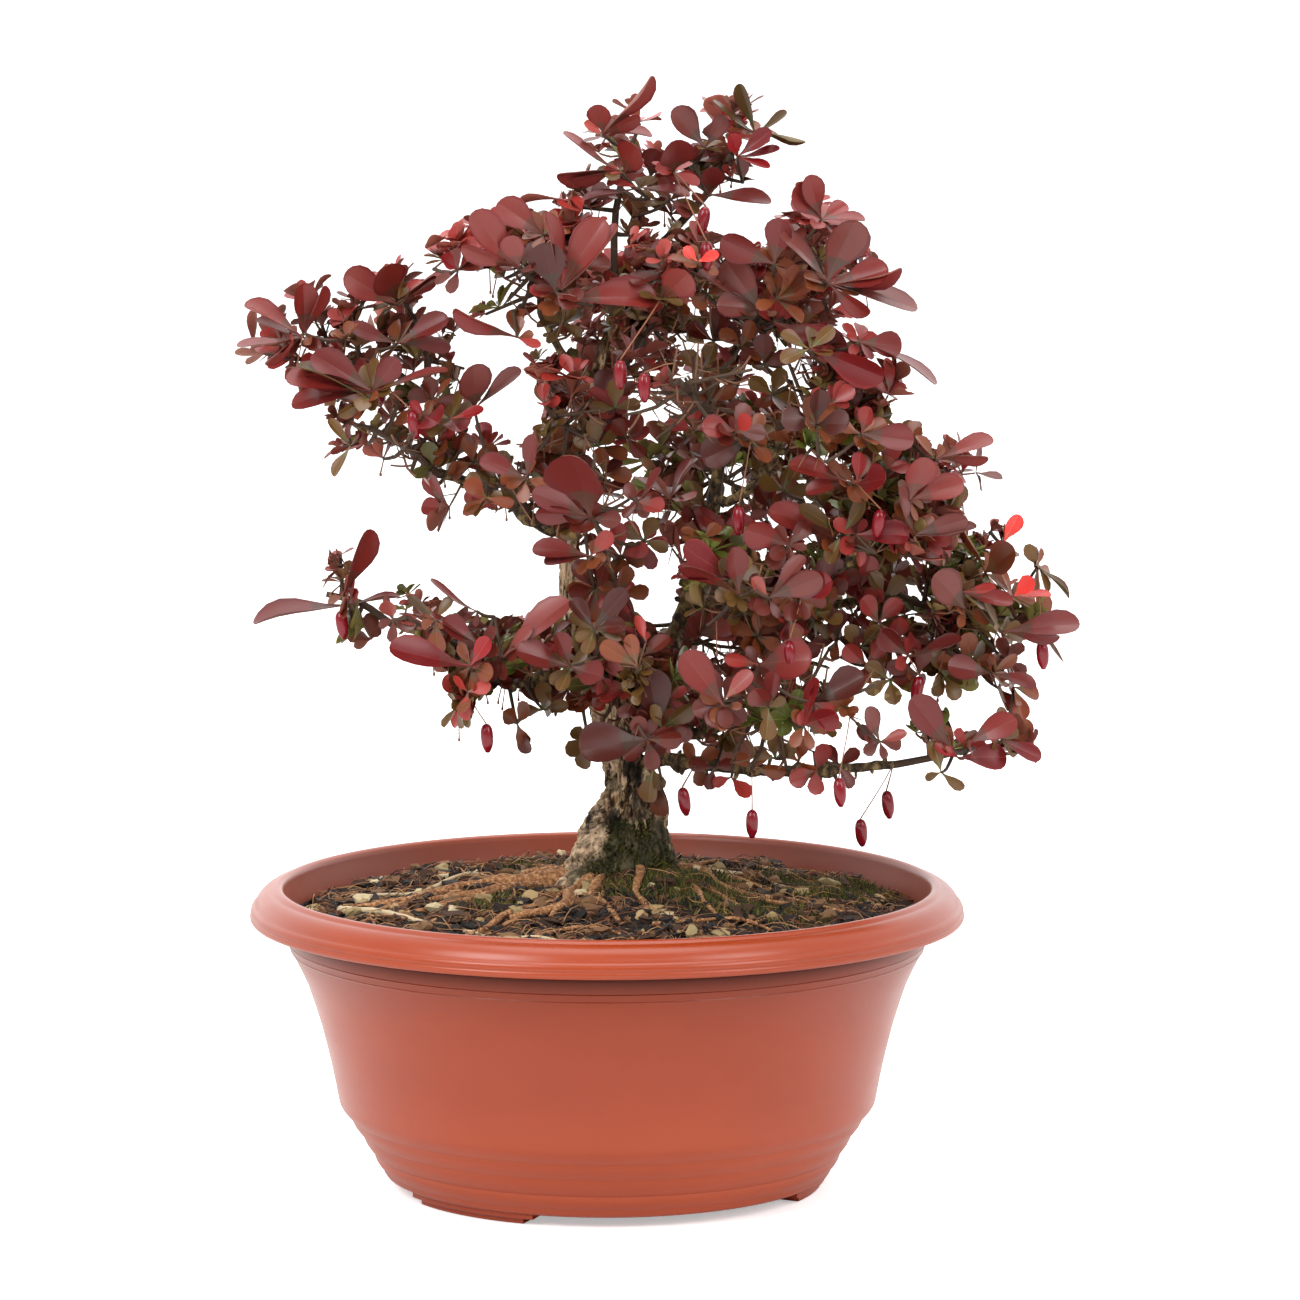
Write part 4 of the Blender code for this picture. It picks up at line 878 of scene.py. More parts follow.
def grainy(material, colours, scale, stretch=(1, 1, 1), spots=(0.35, 0.65), bump=0.3, depth=0.0005):
    # paints a material between its colours by the grain's mask, and bumps it by the grain's height
    tree = material.node_tree
    shader = tree.nodes["Principled BSDF"]
    node = addNode(tree, "ShaderNodeGroup", node_tree=grain)
    node.inputs["Scale"].default_value = scale
    node.inputs["Stretch"].default_value = stretch
    ramp = addNode(tree, "ShaderNodeValToRGB")
    ramp.color_ramp.elements[0].position = spots[0]
    ramp.color_ramp.elements[1].position = spots[1]
    while len(ramp.color_ramp.elements) < len(colours):
        ramp.color_ramp.elements.new(0.5)
    for i, colour in enumerate(colours):
        ramp.color_ramp.elements[i].position = spots[0] + (spots[1] - spots[0]) * i / (len(colours) - 1)
        ramp.color_ramp.elements[i].color = colour
    relief = addNode(tree, "ShaderNodeBump")
    relief.inputs["Strength"].default_value = bump
    relief.inputs["Distance"].default_value = depth
    tree.links.new(node.outputs["Mask"], ramp.inputs["Fac"])
    tree.links.new(ramp.outputs["Color"], shader.inputs["Base Color"])
    tree.links.new(node.outputs["Height"], relief.inputs["Height"])
    tree.links.new(relief.outputs["Normal"], shader.inputs["Normal"])
    return ramp


def layTones(material, attribute, *layers):
    # colours laid over a grainy one by the points' tones: channel, colour, share at 0 and share at 1
    tree = material.node_tree
    shader = tree.nodes["Principled BSDF"]
    last = shader.inputs["Base Color"].links[0].from_socket
    tone = addNode(tree, "ShaderNodeAttribute", attribute_name=attribute)
    parts = addNode(tree, "ShaderNodeSeparateColor")
    tree.links.new(tone.outputs["Color"], parts.inputs["Color"])
    for channel, colour, least, most in layers:
        share = addNode(tree, "ShaderNodeMapRange")
        share.inputs["To Min"].default_value = least
        share.inputs["To Max"].default_value = most
        mix = addNode(tree, "ShaderNodeMix", data_type="RGBA")
        mix.inputs[7].default_value = colour
        tree.links.new(parts.outputs[channel], share.inputs["Value"])
        tree.links.new(share.outputs["Result"], mix.inputs[0])
        tree.links.new(last, mix.inputs[6])
        last = mix.outputs[2]
    tree.links.new(last, shader.inputs["Base Color"])


# leaves

leafTints = dict(  # upper side, underside, midrib, margin, foot; plain colours, dealt out by spray
    plum=((134, 43, 38), (140, 80, 66), (130, 58, 48), (122, 30, 28), (100, 54, 34)),
    wine=((153, 47, 40), (158, 86, 72), (148, 60, 50), (138, 28, 30), (110, 54, 38)),
    dusk=((141, 66, 58), (146, 96, 82), (130, 70, 62), (118, 40, 40), (98, 62, 46)),
    rose=((163, 67, 60), (168, 100, 86), (154, 74, 64), (150, 38, 38), (124, 66, 48)),
    dark=((90, 31, 21), (108, 56, 40), (92, 40, 28), (82, 22, 17), (70, 40, 22)),
    crimson=((138, 26, 29), (170, 68, 58), (162, 50, 44), (150, 18, 22), (118, 34, 28)),
    scarlet=((240, 62, 54), (240, 100, 84), (240, 100, 86), (242, 48, 44), (226, 84, 60)),
    pink=((184, 90, 84), (204, 124, 110), (200, 116, 102), (194, 74, 70), (176, 104, 84)),
    ember=((126, 58, 30), (146, 90, 54), (144, 80, 48), (136, 44, 28), (114, 74, 32)),
    umber=((118, 59, 31), (130, 88, 58), (120, 74, 48), (110, 42, 30), (86, 64, 32)),
    olive=((100, 70, 33), (132, 108, 64), (122, 100, 56), (106, 58, 36), (84, 80, 34)),
    moss=((78, 72, 30), (126, 118, 60), (120, 110, 56), (100, 70, 36), (76, 88, 30)),
    green=((88, 92, 32), (130, 138, 64), (126, 132, 60), (102, 98, 36), (84, 100, 28)),
)
deepShare = 0.75  # the large leaves of the front sprays are darker than the filling
for tint in list(leafTints):
    leafTints["deep" + tint.capitalize()] = [[v * deepShare for v in colour] for colour in leafTints[tint]]
leafShape = dict(
    stations=(0, 0.08, 0.22, 0.38, 0.54, 0.70, 0.84, 0.94, 0.985, 1.0),
    halfWidths=(0.07, 0.09, 0.26, 0.60, 0.88, 1.0, 0.90, 0.62, 0.32, 0.0),
    marginShare=0.84, ribHalf=0.20, ribSink=0.12, thickness=(0.16, 0.012), cup=0.85, underPoints=3, footStations=3,
)
smallLeafShape = dict(
    stations=(0, 0.20, 0.48, 0.74, 0.93, 1.0),
    halfWidths=(0.08, 0.26, 0.82, 1.0, 0.62, 0.0),
    largest=10.5, thickness=0.2, underPoints=1, footStations=1,
)


def leafStation(leaf, side, face, u):
    # a place on the midrib and the way that the blade faces there
    foot, way, _, length, _, arch, fold = leaf
    bend = arch * u
    spot = foot + way * length * (u * (1 - bend * bend / 6)) + face * length * u * bend * 0.5
    turn = Matrix.Rotation(leafTwist(leaf) * u, 3, way)
    return spot, turn @ (face - way * bend).normalized(), turn @ side


def leafTwist(leaf):
    return 0.5 * noise.noise(leaf[0] * 0.7)


def largeLeaf(leaf):
    foot, way, face, length, width, arch, fold = leaf
    face = (face - way * face.dot(way)).normalized()
    verts = []
    shape = leafShape
    for u, w in zip(shape["stations"], shape["halfWidths"]):
        spot, normal, side = leafStation(leaf, face.cross(way), face, u)
        if w == 0:
            verts.append(spot)
            continue
        half = 0.5 * width * w
        rib = min(shape["ribHalf"] * (1 - 0.7 * u), half * 0.4)
        inner = max(rib, half * shape["marginShare"])
        sink = shape["ribSink"] - fold * rib
        rise, innerRise = fold * half * w, fold * inner * w * shape["cup"]
        deep = max(shape["thickness"][0], shape["thickness"][1] * length)
        rows = ((-half, rise), (-inner, innerRise), (-rib, -sink), (rib, -sink), (inner, innerRise), (half, rise),
                (inner, innerRise - deep), (0, -shape["ribSink"] - deep), (-inner, innerRise - deep))
        verts += [spot + side * across + normal * lift for across, lift in rows]
    return verts


def smallLeaf(leaf):
    foot, way, face, length, width, arch, fold = leaf
    face = (face - way * face.dot(way)).normalized()
    verts = []
    for u, w in zip(smallLeafShape["stations"], smallLeafShape["halfWidths"]):
        spot, normal, side = leafStation(leaf, face.cross(way), face, u)
        half = 0.5 * width * w
        if w:
            verts += [spot - side * half + normal * half * fold, spot, spot + side * half + normal * half * fold]
            verts.append(spot - normal * smallLeafShape["thickness"])
        else:
            verts.append(spot)
    return verts


def bladeFaces(shape, topSlots):
    # each station is a loop of points: across the upper side, then back across the underside
    ring = len(topSlots) + 1 + shape["underPoints"]
    slotOf = topSlots + (1,) * (ring - len(topSlots))
    faces, slots = [], []
    last = len(shape["stations"]) - 2
    for k in range(last):
        a, b = ring * k, ring * k + ring
        for i, slot in enumerate(slotOf):
            n = (i + 1) % ring
            faces.append((a + i, a + n, b + n, b + i))
            slots.append(4 if slot == 0 and k < shape["footStations"] else slot)
    a, tip = ring * last, ring * last + ring
    for i, slot in enumerate(slotOf):
        faces.append((a + i, a + (i + 1) % ring, tip))
        slots.append(slot)
    faces.append(tuple(reversed(range(ring))))
    slots.append(1)
    return faces, slots


largeRows = bladeFaces(leafShape, (3, 0, 2, 0, 3))
smallRows = bladeFaces(smallLeafShape, (0, 0))
leafPieces = []
for tint, leaves in leafBins.items():
    upper, under, rib, margin, foot = leafTints[tint]
    looks = [
        newMaterial(tint + "Upper", srgb(*upper), 0.34, Specular_IOR_Level=0.38),
        newMaterial(tint + "Under", srgb(*under), 0.6, Specular_IOR_Level=0.3),
        newMaterial(tint + "Rib", srgb(*rib), 0.5),
        newMaterial(tint + "Margin", srgb(*margin), 0.42, Specular_IOR_Level=0.45),
        newMaterial(tint + "Foot", srgb(*foot), 0.45),
    ]
    verts, faces, slots = [], [], []
    for leaf in leaves:
        first = len(verts)
        large = leaf[3] > smallLeafShape["largest"]
        verts += largeLeaf(leaf) if large else smallLeaf(leaf)
        rows, rowSlots = largeRows if large else smallRows
        faces += [tuple(first + i for i in row) for row in rows]
        slots += rowSlots
    piece = newObject("leaves" + tint[0].upper() + tint[1:], verts, faces, looks, slots)
    smoothByAngle(piece, 50)
    leafPieces.append(piece)
stage("made %d leaf pieces" % len(leafPieces))
foliageNodes = sorted(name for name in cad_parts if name.startswith("foliage_"))
for piece in leafPieces:
    carry(piece, "foliage", *foliageNodes)

# bark

barkSettings = dict(
    trunkSides=170, trunkStep=0.8, limbSides=12, step=1.6, knot=0.9,
    layerEdges=(-0.16, 0.16), layerStep=1.0, crackDepth=2.4, crackWidth=0.12, fine=0.7, mossTop=142, crispness=1.8, closeRings=172,
)
trunkKnobs = (  # height, heading from the front, spread, bulge; read from the photo
    (125, -92, 6.0, 2.4), (131, 88, 6.0, 2.0), (121, -40, 7.0, 1.6), (116, 50, 7.0, 1.4), (152, -20, 4.5, 0.9),
    (150, 84, 6.0, -1.6), (139, -88, 7.0, -2.8), (141, 92, 4.0, -1.8), (141, 0, 7.0, -1.6), (141, 180, 9.0, -1.6),
    (160, -80, 4.0, 1.2), (126, 8, 4.5, -1.6),
)


def knobsAt(point):
    total = 0
    heading = math.degrees(math.atan2(point.x - trunkFoot.x, -(point.y - trunkFoot.y)))
    for height, way, spread, bulge in trunkKnobs:
        apart = abs(heading - way)
        across = math.radians(min(apart, 360 - apart)) * 10
        total += bulge * math.exp(-((point.z - height) ** 2 + across * across) / (spread * spread))
    return total


trunkMarks = dict(  # height, heading from the front, spread; read from the photo
    pale=((118, -70, 7), (112, -50, 6), (124, -36, 5), (133, -60, 5), (141, -22, 5), (153, -30, 6), (121, 62, 4),
          (129, 38, 4), (112, 150, 9), (130, 190, 8)),
    dark=((147, 40, 9), (135, 66, 6), (158, 18, 7), (128, -12, 5), (116, -92, 4), (140, 160, 8)),
    moss=((118, 6, 8), (110, -16, 6), (126, 2, 5), (114, 40, 9), (124, 66, 5), (114, 110, 9)),
)


def marksAt(point, kind):
    total = 0
    heading = math.degrees(math.atan2(point.x - trunkFoot.x, -(point.y - trunkFoot.y)))
    for height, way, spread in trunkMarks[kind]:
        apart = abs(heading - way) % 360
        across = math.radians(min(apart, 360 - apart)) * 14
        total += math.exp(-((point.z - height) ** 2 + across * across) / (spread * spread))
    return total


def stretched(point, wide, tall, shift):
    return noise.noise(Vector((point.x * wide, point.y * wide, point.z * tall + shift)))


def fissureAt(point):
    # 1 in the upright cracks that part the plates, 0 on the plates
    warp = 0.9 * stretched(point, 0.12, 0.12, 3)
    deepCrack = 1 - abs(stretched(point, 0.19, 0.05, 11 + warp)) / barkSettings["crackWidth"]
    thinCrack = 0.75 - abs(stretched(point, 0.42, 0.16, 29 - warp)) / barkSettings["crackWidth"]
    return max(0.0, deepCrack, thinCrack)


def layerAt(point):
    # the bark flakes off in three layers: 0 the dark bed, 1 the tan middle, 2 the pale skin
    patch = stretched(point, 0.13, 0.075, 17) + 0.55 * stretched(point, 0.4, 0.2, 41)
    return sum(patch > edge for edge in barkSettings["layerEdges"])


def barkRelief(point, radius, share):
    depth = min(1.0, radius / 7)
    fine = stretched(point, 0.9, 0.4, 3)
    broad = noise.noise(point * 0.14 + Vector((5, 0, 2)))
    plate = barkSettings["layerStep"] * (layerAt(point) - 1) - barkSettings["crackDepth"] * fissureAt(point)
    return (plate + barkSettings["fine"] * fine + broad + knobsAt(point)) * depth


def limbRelief(point, radius, share):
    p = point
    knot = max(0.0, noise.noise(p * 0.16) - 0.2) * barkSettings["knot"] * 2.2
    fine = noise.noise(Vector((p.x * 0.9, p.y * 0.9, p.z * 0.5)))
    return radius * (knot + 0.16 * fine)


def rootRelief(point, radius, share):
    return radius * (0.40 * noise.noise(point * 0.12) + 0.14 * noise.noise(point * 0.6) + 0.06 * noise.noise(point * 2.2))


def resample(path, step):
    total = sum((b[0] - a[0]).length for a, b in zip(path, path[1:]))
    count = max(2, int(total / step))
    return [(alongPath(path, i / count)[0], alongPath(path, i / count)[2]) for i in range(count + 1)]


def trunkVerts():
    # level rings at the foot with the lobed flare, bark relief laid over them
    path = resample(trunkPath, barkSettings["trunkStep"])
    path = [row for i, row in enumerate(path) if row[0].z < barkSettings["closeRings"] or i % 2 == 0]
    sides = barkSettings["trunkSides"]
    verts = []
    for i, (spot, radius) in enumerate(path):
        ahead = path[min(i + 1, len(path) - 1)][0] - path[max(i - 1, 0)][0]
        lean = ahead.normalized() if i else up
        turn = up.rotation_difference(lean)
        flare = flareAt(spot.z)
        for k in range(sides):
            angle = 2 * math.pi * k / sides
            lobe = 1 + trunk["lobeDepth"] * min(1.0, flare / trunk["flare"]) * math.cos(trunk["lobes"] * angle)
            reach = (radius + flare) * lobe
            out = Vector((math.cos(angle), math.sin(angle), 0))
            point = spot + turn @ (out * reach)
            verts.append(point + turn @ out * barkRelief(point, radius + 0.3 * flare, 0))
    faces = []
    rings = len(path)
    for i in range(rings - 1):
        for k in range(sides):
            n = (k + 1) % sides
            a, b = i * sides, (i + 1) * sides
            faces.append((a + k, a + n, b + n, b + k))
    faces.append(tuple(reversed(range(sides))))
    faces.append(tuple((rings - 1) * sides + k for k in range(sides)))
    return verts, faces


barkPale = newMaterial("barkPale", srgb(150, 118, 82), 0.85)
grainy(barkPale, [srgb(66, 42, 20), srgb(136, 100, 60), srgb(196, 162, 114), srgb(236, 212, 172)],
       420, (1, 1, 0.35), (0.41, 0.57), 1.0, 0.0015)
barkDark = newMaterial("barkDark", srgb(66, 48, 30), 0.8)
grainy(barkDark, [srgb(30, 21, 12), srgb(84, 64, 38), srgb(146, 124, 80)], 420, (1, 1, 0.6), (0.38, 0.62), 0.7, 0.0008)
rootBark = newMaterial("rootBark", srgb(150, 104, 66), 0.8)
grainy(rootBark, [srgb(84, 48, 25), srgb(156, 104, 63), srgb(216, 172, 122)], 760, (1, 1, 1), (0.3, 0.7), 0.8, 0.0007)

def crisp(value):
    share = max(0.0, min(1.0, (value - 0.5) * barkSettings["crispness"] + 0.5))
    return share * share * (3 - 2 * share)


def toneBark(obj, points):
    # per point: red is 1 on the plates and 0 in the cracks, green the moss, blue the pale skin
    tone = obj.data.attributes.new("barkTone", "FLOAT_COLOR", "POINT")
    values = []
    for p in points:
        p = Vector(p)
        patch = noise.noise(p * 0.12) + 0.6 * noise.noise(p * 0.45)
        layer = layerAt(p) / 2
        low = max(0.0, 1 - (p.z - trunk["ground"]) / (barkSettings["mossTop"] - trunk["ground"]))
        moss = max(0.0, min(1.0, (0.35 * low + 0.8 * marksAt(p, "moss") - 0.5 + 0.45 * patch) * 2.8))
        dark = marksAt(p, "dark")
        pale = layer * (0.45 + patch) + 1.1 * marksAt(p, "pale") * (0.4 + layer) - 0.7 * dark
        bed = 0.5 * (1 - layer) + 0.8 * dark * (0.6 + patch)
        crack = max(fissureAt(p), bed)
        values += [1 - crisp(crack), moss, crisp(pale), 1]
    tone.data.foreach_set("color", values)


verts, faces = trunkVerts()
trunkPiece = newObject("trunkBark", verts, faces, [barkPale])
toneBark(trunkPiece, verts)
layTones(barkPale, "barkTone", ("Blue", srgb(240, 208, 174), 0, 0.66), ("Red", srgb(22, 13, 7), 0.97, 0),
         ("Green", srgb(44, 46, 13), 0, 0.9))
carry(trunkPiece, "bark", "trunk")

limbs = Tubes()
for name, parent, share, tip, radii, bow in boughs:
    path = resample(smoothPath(paths[name], 2), barkSettings["step"])
    spot, heading, thick = alongPath(paths[parent], share)
    path.insert(0, (spot.lerp(path[0][0], 0.3), path[0][1]))
    limbs.add(path, barkSettings["limbSides"], limbRelief)
# old spurs: short dark stubs in knots along each bough
spurs = dict(spacing=2.6, length=(1.4, 3.6), radius=(0.45, 0.95), share=0.8, seed=21)
rng = random.Random(spurs["seed"])
for row in boughs:
    path = paths[row[0]]
    total = sum((b[0] - a[0]).length for a, b in zip(path, path[1:]))
    for j in range(3, int(total / spurs["spacing"])):
        if rng.random() > spurs["share"]:
            continue
        spot, heading, radius = alongPath(path, j * spurs["spacing"] / total)
        turn = Matrix.Rotation(j * goldenTurn + rng.uniform(-0.5, 0.5), 3, heading)
        way = (turn @ heading.orthogonal().normalized() + heading * rng.uniform(-0.3, 0.6)).normalized()
        length, thick = rng.uniform(*spurs["length"]), rng.uniform(*spurs["radius"])
        foot = spot + way * radius * 0.5
        limbs.add([(foot, thick), (foot + way * (radius * 0.5 + length * 0.6), thick * 1.15),
                   (foot + way * (radius * 0.5 + length), thick * 0.5)], 6)
limbPiece = newObject("boughBark", limbs.verts, limbs.faces, [barkDark])
carry(limbPiece, "bark", *[row[0] for row in boughs])

rootTubes = Tubes()
rootPaths = []
rootStart = 12
strands = ((0, 1.0, 1.0), (8, 0.62, 0.92), (-7, 0.55, 0.85), (15, 0.36, 0.75))  # turn, thickness, reach


def rootStrand(heading, reach, thick, thin, sweep, turn):
    # a strand leaves its root by the turn as it goes outward
    path = []
    for i in range(13):
        share = i / 12
        angle = math.radians(heading + sweep * math.sin(2.4 * share) + 4 * math.sin(9 * share + heading + turn)
                             + turn * min(1, 2.2 * share))
        radius = thick + (thin - thick) * share
        spot = trunkFoot + (rootStart + (reach - rootStart) * share) * Vector((math.sin(angle), -math.cos(angle), 0))
        spot.z = soilHeight(spot.xy.length) + radius * 0.6 + 6 * max(0, 0.35 - share)
        path.append((spot, radius * (1.3 if share < 0.2 else 1)))
    return path


for name, heading, reach, (thick, thin), sweep in roots:
    for turn, thicker, further in strands:
        path = rootStrand(heading, reach * further, thick * thicker * 0.85, thin * thicker * 0.9, sweep, turn)
        rootPaths.append(path)
        rootTubes.add(resample(path, 1.0), 12, rootRelief)
rootPiece = newObject("surfaceRoots", rootTubes.verts, rootTubes.faces, [rootBark])
carry(rootPiece, "bark", *[row[0] for row in roots])

twigBark = newMaterial("twigBark", srgb(66, 46, 30), 0.75)
youngBark = newMaterial("youngBark", srgb(104, 66, 42), 0.6)
twigPiece = newObject("twigs", twigs.verts, twigs.faces, [twigBark])
carry(twigPiece, "bark", *foliageNodes)
sidePiece = newObject("youngTwigs", sideTwigs.verts, sideTwigs.faces, [youngBark])
carry(sidePiece, "bark", *foliageNodes)
stage("bark on trunk, boughs, roots and twigs")

# spines, stalks and berries

spineMaterial = newMaterial("spine", srgb(104, 68, 44), 0.5)
stalkMaterial = newMaterial("berryStalk", srgb(134, 84, 56), 0.55)
berrySkin = newMaterial("berrySkin", srgb(118, 10, 24), 0.2, Specular_IOR_Level=0.45)
berryEnd = newMaterial("berryEnd", srgb(62, 40, 28), 0.7)

rng = random.Random(5)
spines = Tubes()
for spot, heading, swing in nodesForSpines:
    if rng.random() < 0.5:
        way = (swing * 0.9 + outwardFrom(spot) * 0.6 - up * rng.uniform(-0.2, 0.7)).normalized()
        length = rng.uniform(5, 10)
        tip = spot + way * length
        if not inSky(tip):
            spines.add([(spot, 0.34), (spot + way * length * 0.5, 0.22), (tip, 0.05)], 4)
spinePiece = newObject("spines", spines.verts, spines.faces, [spineMaterial])
carry(spinePiece, "foliage", *foliageNodes)

berryDrops = (  # x, y, z of the top of each berry seen in the photo
    (-41, -46, 169),
    (-92, -22, 205),
    (26, -46, 147),
    (50, -44, 139),
    (79, -64, 153),
    (97, -20, 142),
    (34, -36, 345),
    (34, -48, 334),
    (45, -58, 245),
    (93, -60, 244),
    (5, -66, 295),
    (13, -70, 291),
    (-66, -42, 276),
    (62, -66, 200),
    (150, -26, 195),
    (108, -28, 183),
    (88, -20, 132),
)
stalks = Tubes()
skeletonArray = np.array([tuple(spot) for spot, _ in skeleton] + [row[1] for row in frontSprays], float)


def hang(top, bottomKnob):
    # a thin stalk from the nearest wood that lies above
    above = skeletonArray[skeletonArray[:, 2] > top.z + 3]
    gaps = (above[:, 0] - top.x) ** 2 * 8 + (above[:, 1] - top.y) ** 2 * 2.5 + (above[:, 2] - top.z) ** 2
    near = Vector(above[int(gaps.argmin())])
    middle = near.lerp(top, 0.5)
    middle.x += (near.x - top.x) * 0.15
    middle.z += 0.1 * (near - top).length
    path = smoothPath([(near, 0.3), (middle, 0.26), (top, 0.34)], 3)
    if bottomKnob:
        path.append((top - up * 0.4, 0.62))
        path.append((top - up * 1.2, 0.5))
    stalks.add(path, 4)


bpy.ops.mesh.primitive_uv_sphere_add(segments=16, ring_count=11, radius=1)
berryModel = bpy.context.active_object
berryModel.name = "berryModel"
berryPoints = [v.co.copy() for v in berryModel.data.vertices]
berryFaces = [tuple(p.vertices) for p in berryModel.data.polygons]
bpy.data.objects.remove(berryModel)
berrySize = dict(length=9.6, radius=2.15)
verts, faces, slots = [], [], []


def addBerry(top, lean):
    first = len(verts)
    turn = up.rotation_difference(lean)
    for x, y, z in berryPoints:
        full = (1 - abs(z) ** 2.7) ** 0.45 / max(0.02, math.sqrt(max(0, 1 - z * z)))
        r = berrySize["radius"] * full * (1 + 0.06 * z)
        point = Vector((x * r, y * r, (z - 1) * 0.5 * berrySize["length"]))
        if z < -0.93:
            point.z -= 0.5
        verts.append(top + turn @ point)
    for row in berryFaces:
        faces.append(tuple(first + i for i in row))
        low = all(berryPoints[i].z < -0.88 for i in row)
        slots.append(1 if low else 0)


for x, y, z in berryDrops:
    top = Vector((x, y, z))
    hang(top, False)
    addBerry(top, Vector((rng.uniform(-0.22, 0.22), rng.uniform(-0.15, 0.15), 1)).normalized())
hidden = [spot for spot, open_ in nodesForStalks if open_ > 0.2 and spot.y > 10]
for spot in rng.sample(hidden, 12):
    top = spot - up * rng.uniform(9, 13)
    hang(top, False)
    addBerry(top, Vector((rng.uniform(-0.2, 0.2), rng.uniform(-0.2, 0.2), 1)).normalized())
for spot, open_ in rng.sample(nodesForStalks, min(520, len(nodesForStalks))):
    top = spot - up * rng.uniform(5, 13) + Vector((rng.uniform(-4, 4), rng.uniform(-4, 4), 0))
    if not hidesSpray(top) and not any(math.hypot(top.x - x, top.z - z) < 3 for x, y, z in berryDrops):
        hang(top, True)
berryPiece = newObject("berries", verts, faces, [berrySkin, berryEnd], slots)
carry(berryPiece, "foliage", *foliageNodes)
stalkPiece = newObject("berryStalks", stalks.verts, stalks.faces, [stalkMaterial])
carry(stalkPiece, "foliage", *foliageNodes)
stage("hung the berries")


# pot

pot = dict(
    turnSteps=144,
    inside=((0, 4.8), (74, 4.8), (88.8, 25), (96.6, 50), (102.9, 71.5), (112, 94), (113.5, 103.8)),
    lip=((113.7, 105.2), (114.2, 105.9), (115.0, 106.25), (115.9, 106.2), (116.7, 105.8), (117.2, 105.2)),
    rim=((117.6, 104.95), (118.4, 104.9), (119.7, 104.5), (121.1, 103.6), (122.3, 102.3), (123.2, 100.8), (123.5, 99.9)),
    ribs=((123.9, 99.6), (124.5, 99.2), (124.85, 98.4), (124.95, 97.4), (124.8, 96.9), (125.15, 96.6),
          (125.3, 96.0), (125.2, 95.2)),
    under=((124.8, 94.6), (123.9, 94.3), (122.6, 94.5), (121.6, 96.4), (120.4, 98.6), (118.8, 99.8), (117.2, 100.2)),
    neck=((115.0, 99.0), (113.3, 95.6), (113.05, 92.6), (112.9, 90.9), (112.6, 89.0)),
    lines=((112.2, 87.2), (112.35, 86.9), (112.1, 86.6), (111.2, 84.5), (111.3, 84.2), (110.9, 83.9)),
    body=((110.6, 83.4), (107.9, 78.2), (105.3, 72.5), (103.0, 65.6), (100.8, 58.5), (98.9, 51.1), (97.1, 43.5),
          (95.8, 37.1), (94.6, 30.6)),
    grooves=((90.2, 24.6), (86.2, 18.5), (82.1, 11.9), (79.3, 6.5)),
    bulge=2.3,
    # the inside is paled evenly: partly a dust film, partly a painted sheen
    foldReach=122, foldTop=100.3, wallLeast=0.7, dustAndSheen=0.2,
    # painted shade: darkest in the fold under the rim, fading down the neck and the upper wall
    paintedShade=((50, 0.0), (70, 0.08), (82, 0.20), (87, 0.34), (90.5, 0.6), (92.5, 0.95)),  # height, share
    # painted light: the wall is lighter low down, as if lit from the bright floor
    paintedLowLight=((0, 0.26), (26, 0.2), (46, 0.0)),
    foot=((78.9, 5.2), (78.3, 4.3), (77.0, 3.7), (75, 3.2), (71.5, 2.6), (0, 2.6)),
    feet=dict(first=-40, count=3, tiers=((0.0, 2.4, 36, 75.6, 66.0), (1.9, 5.0, 42, 77.0, 65.0))),
)


def potProfile():
    profile = list(pot["inside"] + pot["lip"] + pot["rim"] + pot["ribs"] + pot["under"] + pot["neck"])
    profile += list(pot["lines"]) + list(pot["body"])
    for radius, height in pot["grooves"]:
        above = profile[-1]
        for t, push in ((0.25, 0.75), (0.5, 1.0), (0.75, 0.8), (0.92, 0.3)):
            profile.append((above[0] + (radius - above[0]) * t + push,
                            above[1] + (height - above[1]) * t + 0.35 * push))
        profile.append((radius, height))
    return profile + list(pot["foot"])


def spinProfile(name, profile, steps, angle, startAngle, materials):
    # a profile of radius and height in millimetres, spun about the pot's axis
    mesh = bpy.data.meshes.new(name)
    turn = Matrix.Rotation(startAngle, 3, "Z")
    points = []
    for radius, height in profile:
        spot = turn @ Vector((radius * mm, 0, height * mm))
        points.append((spot.x + axisX, spot.y, spot.z))
    closed = angle < 2 * math.pi - 0.001
    edges = [(i, i + 1) for i in range(len(points) - 1)]
    mesh.from_pydata(points, edges if not closed else [], [tuple(range(len(points)))] if closed else [])
    obj = bpy.data.objects.new(name, mesh)
    bpy.context.scene.collection.objects.link(obj)
    for material in materials:
        mesh.materials.append(material)
    activate(obj)
    bpy.ops.object.mode_set(mode="EDIT")
    bpy.ops.mesh.select_all(action="SELECT")
    bpy.ops.mesh.spin(steps=steps, angle=angle, center=(axisX, 0, 0), axis=(0, 0, 1))
    bpy.ops.mesh.select_all(action="SELECT")
    bpy.ops.mesh.remove_doubles(threshold=0.00001)
    bpy.ops.mesh.normals_make_consistent(inside=False)
    bpy.ops.object.mode_set(mode="OBJECT")
    return obj


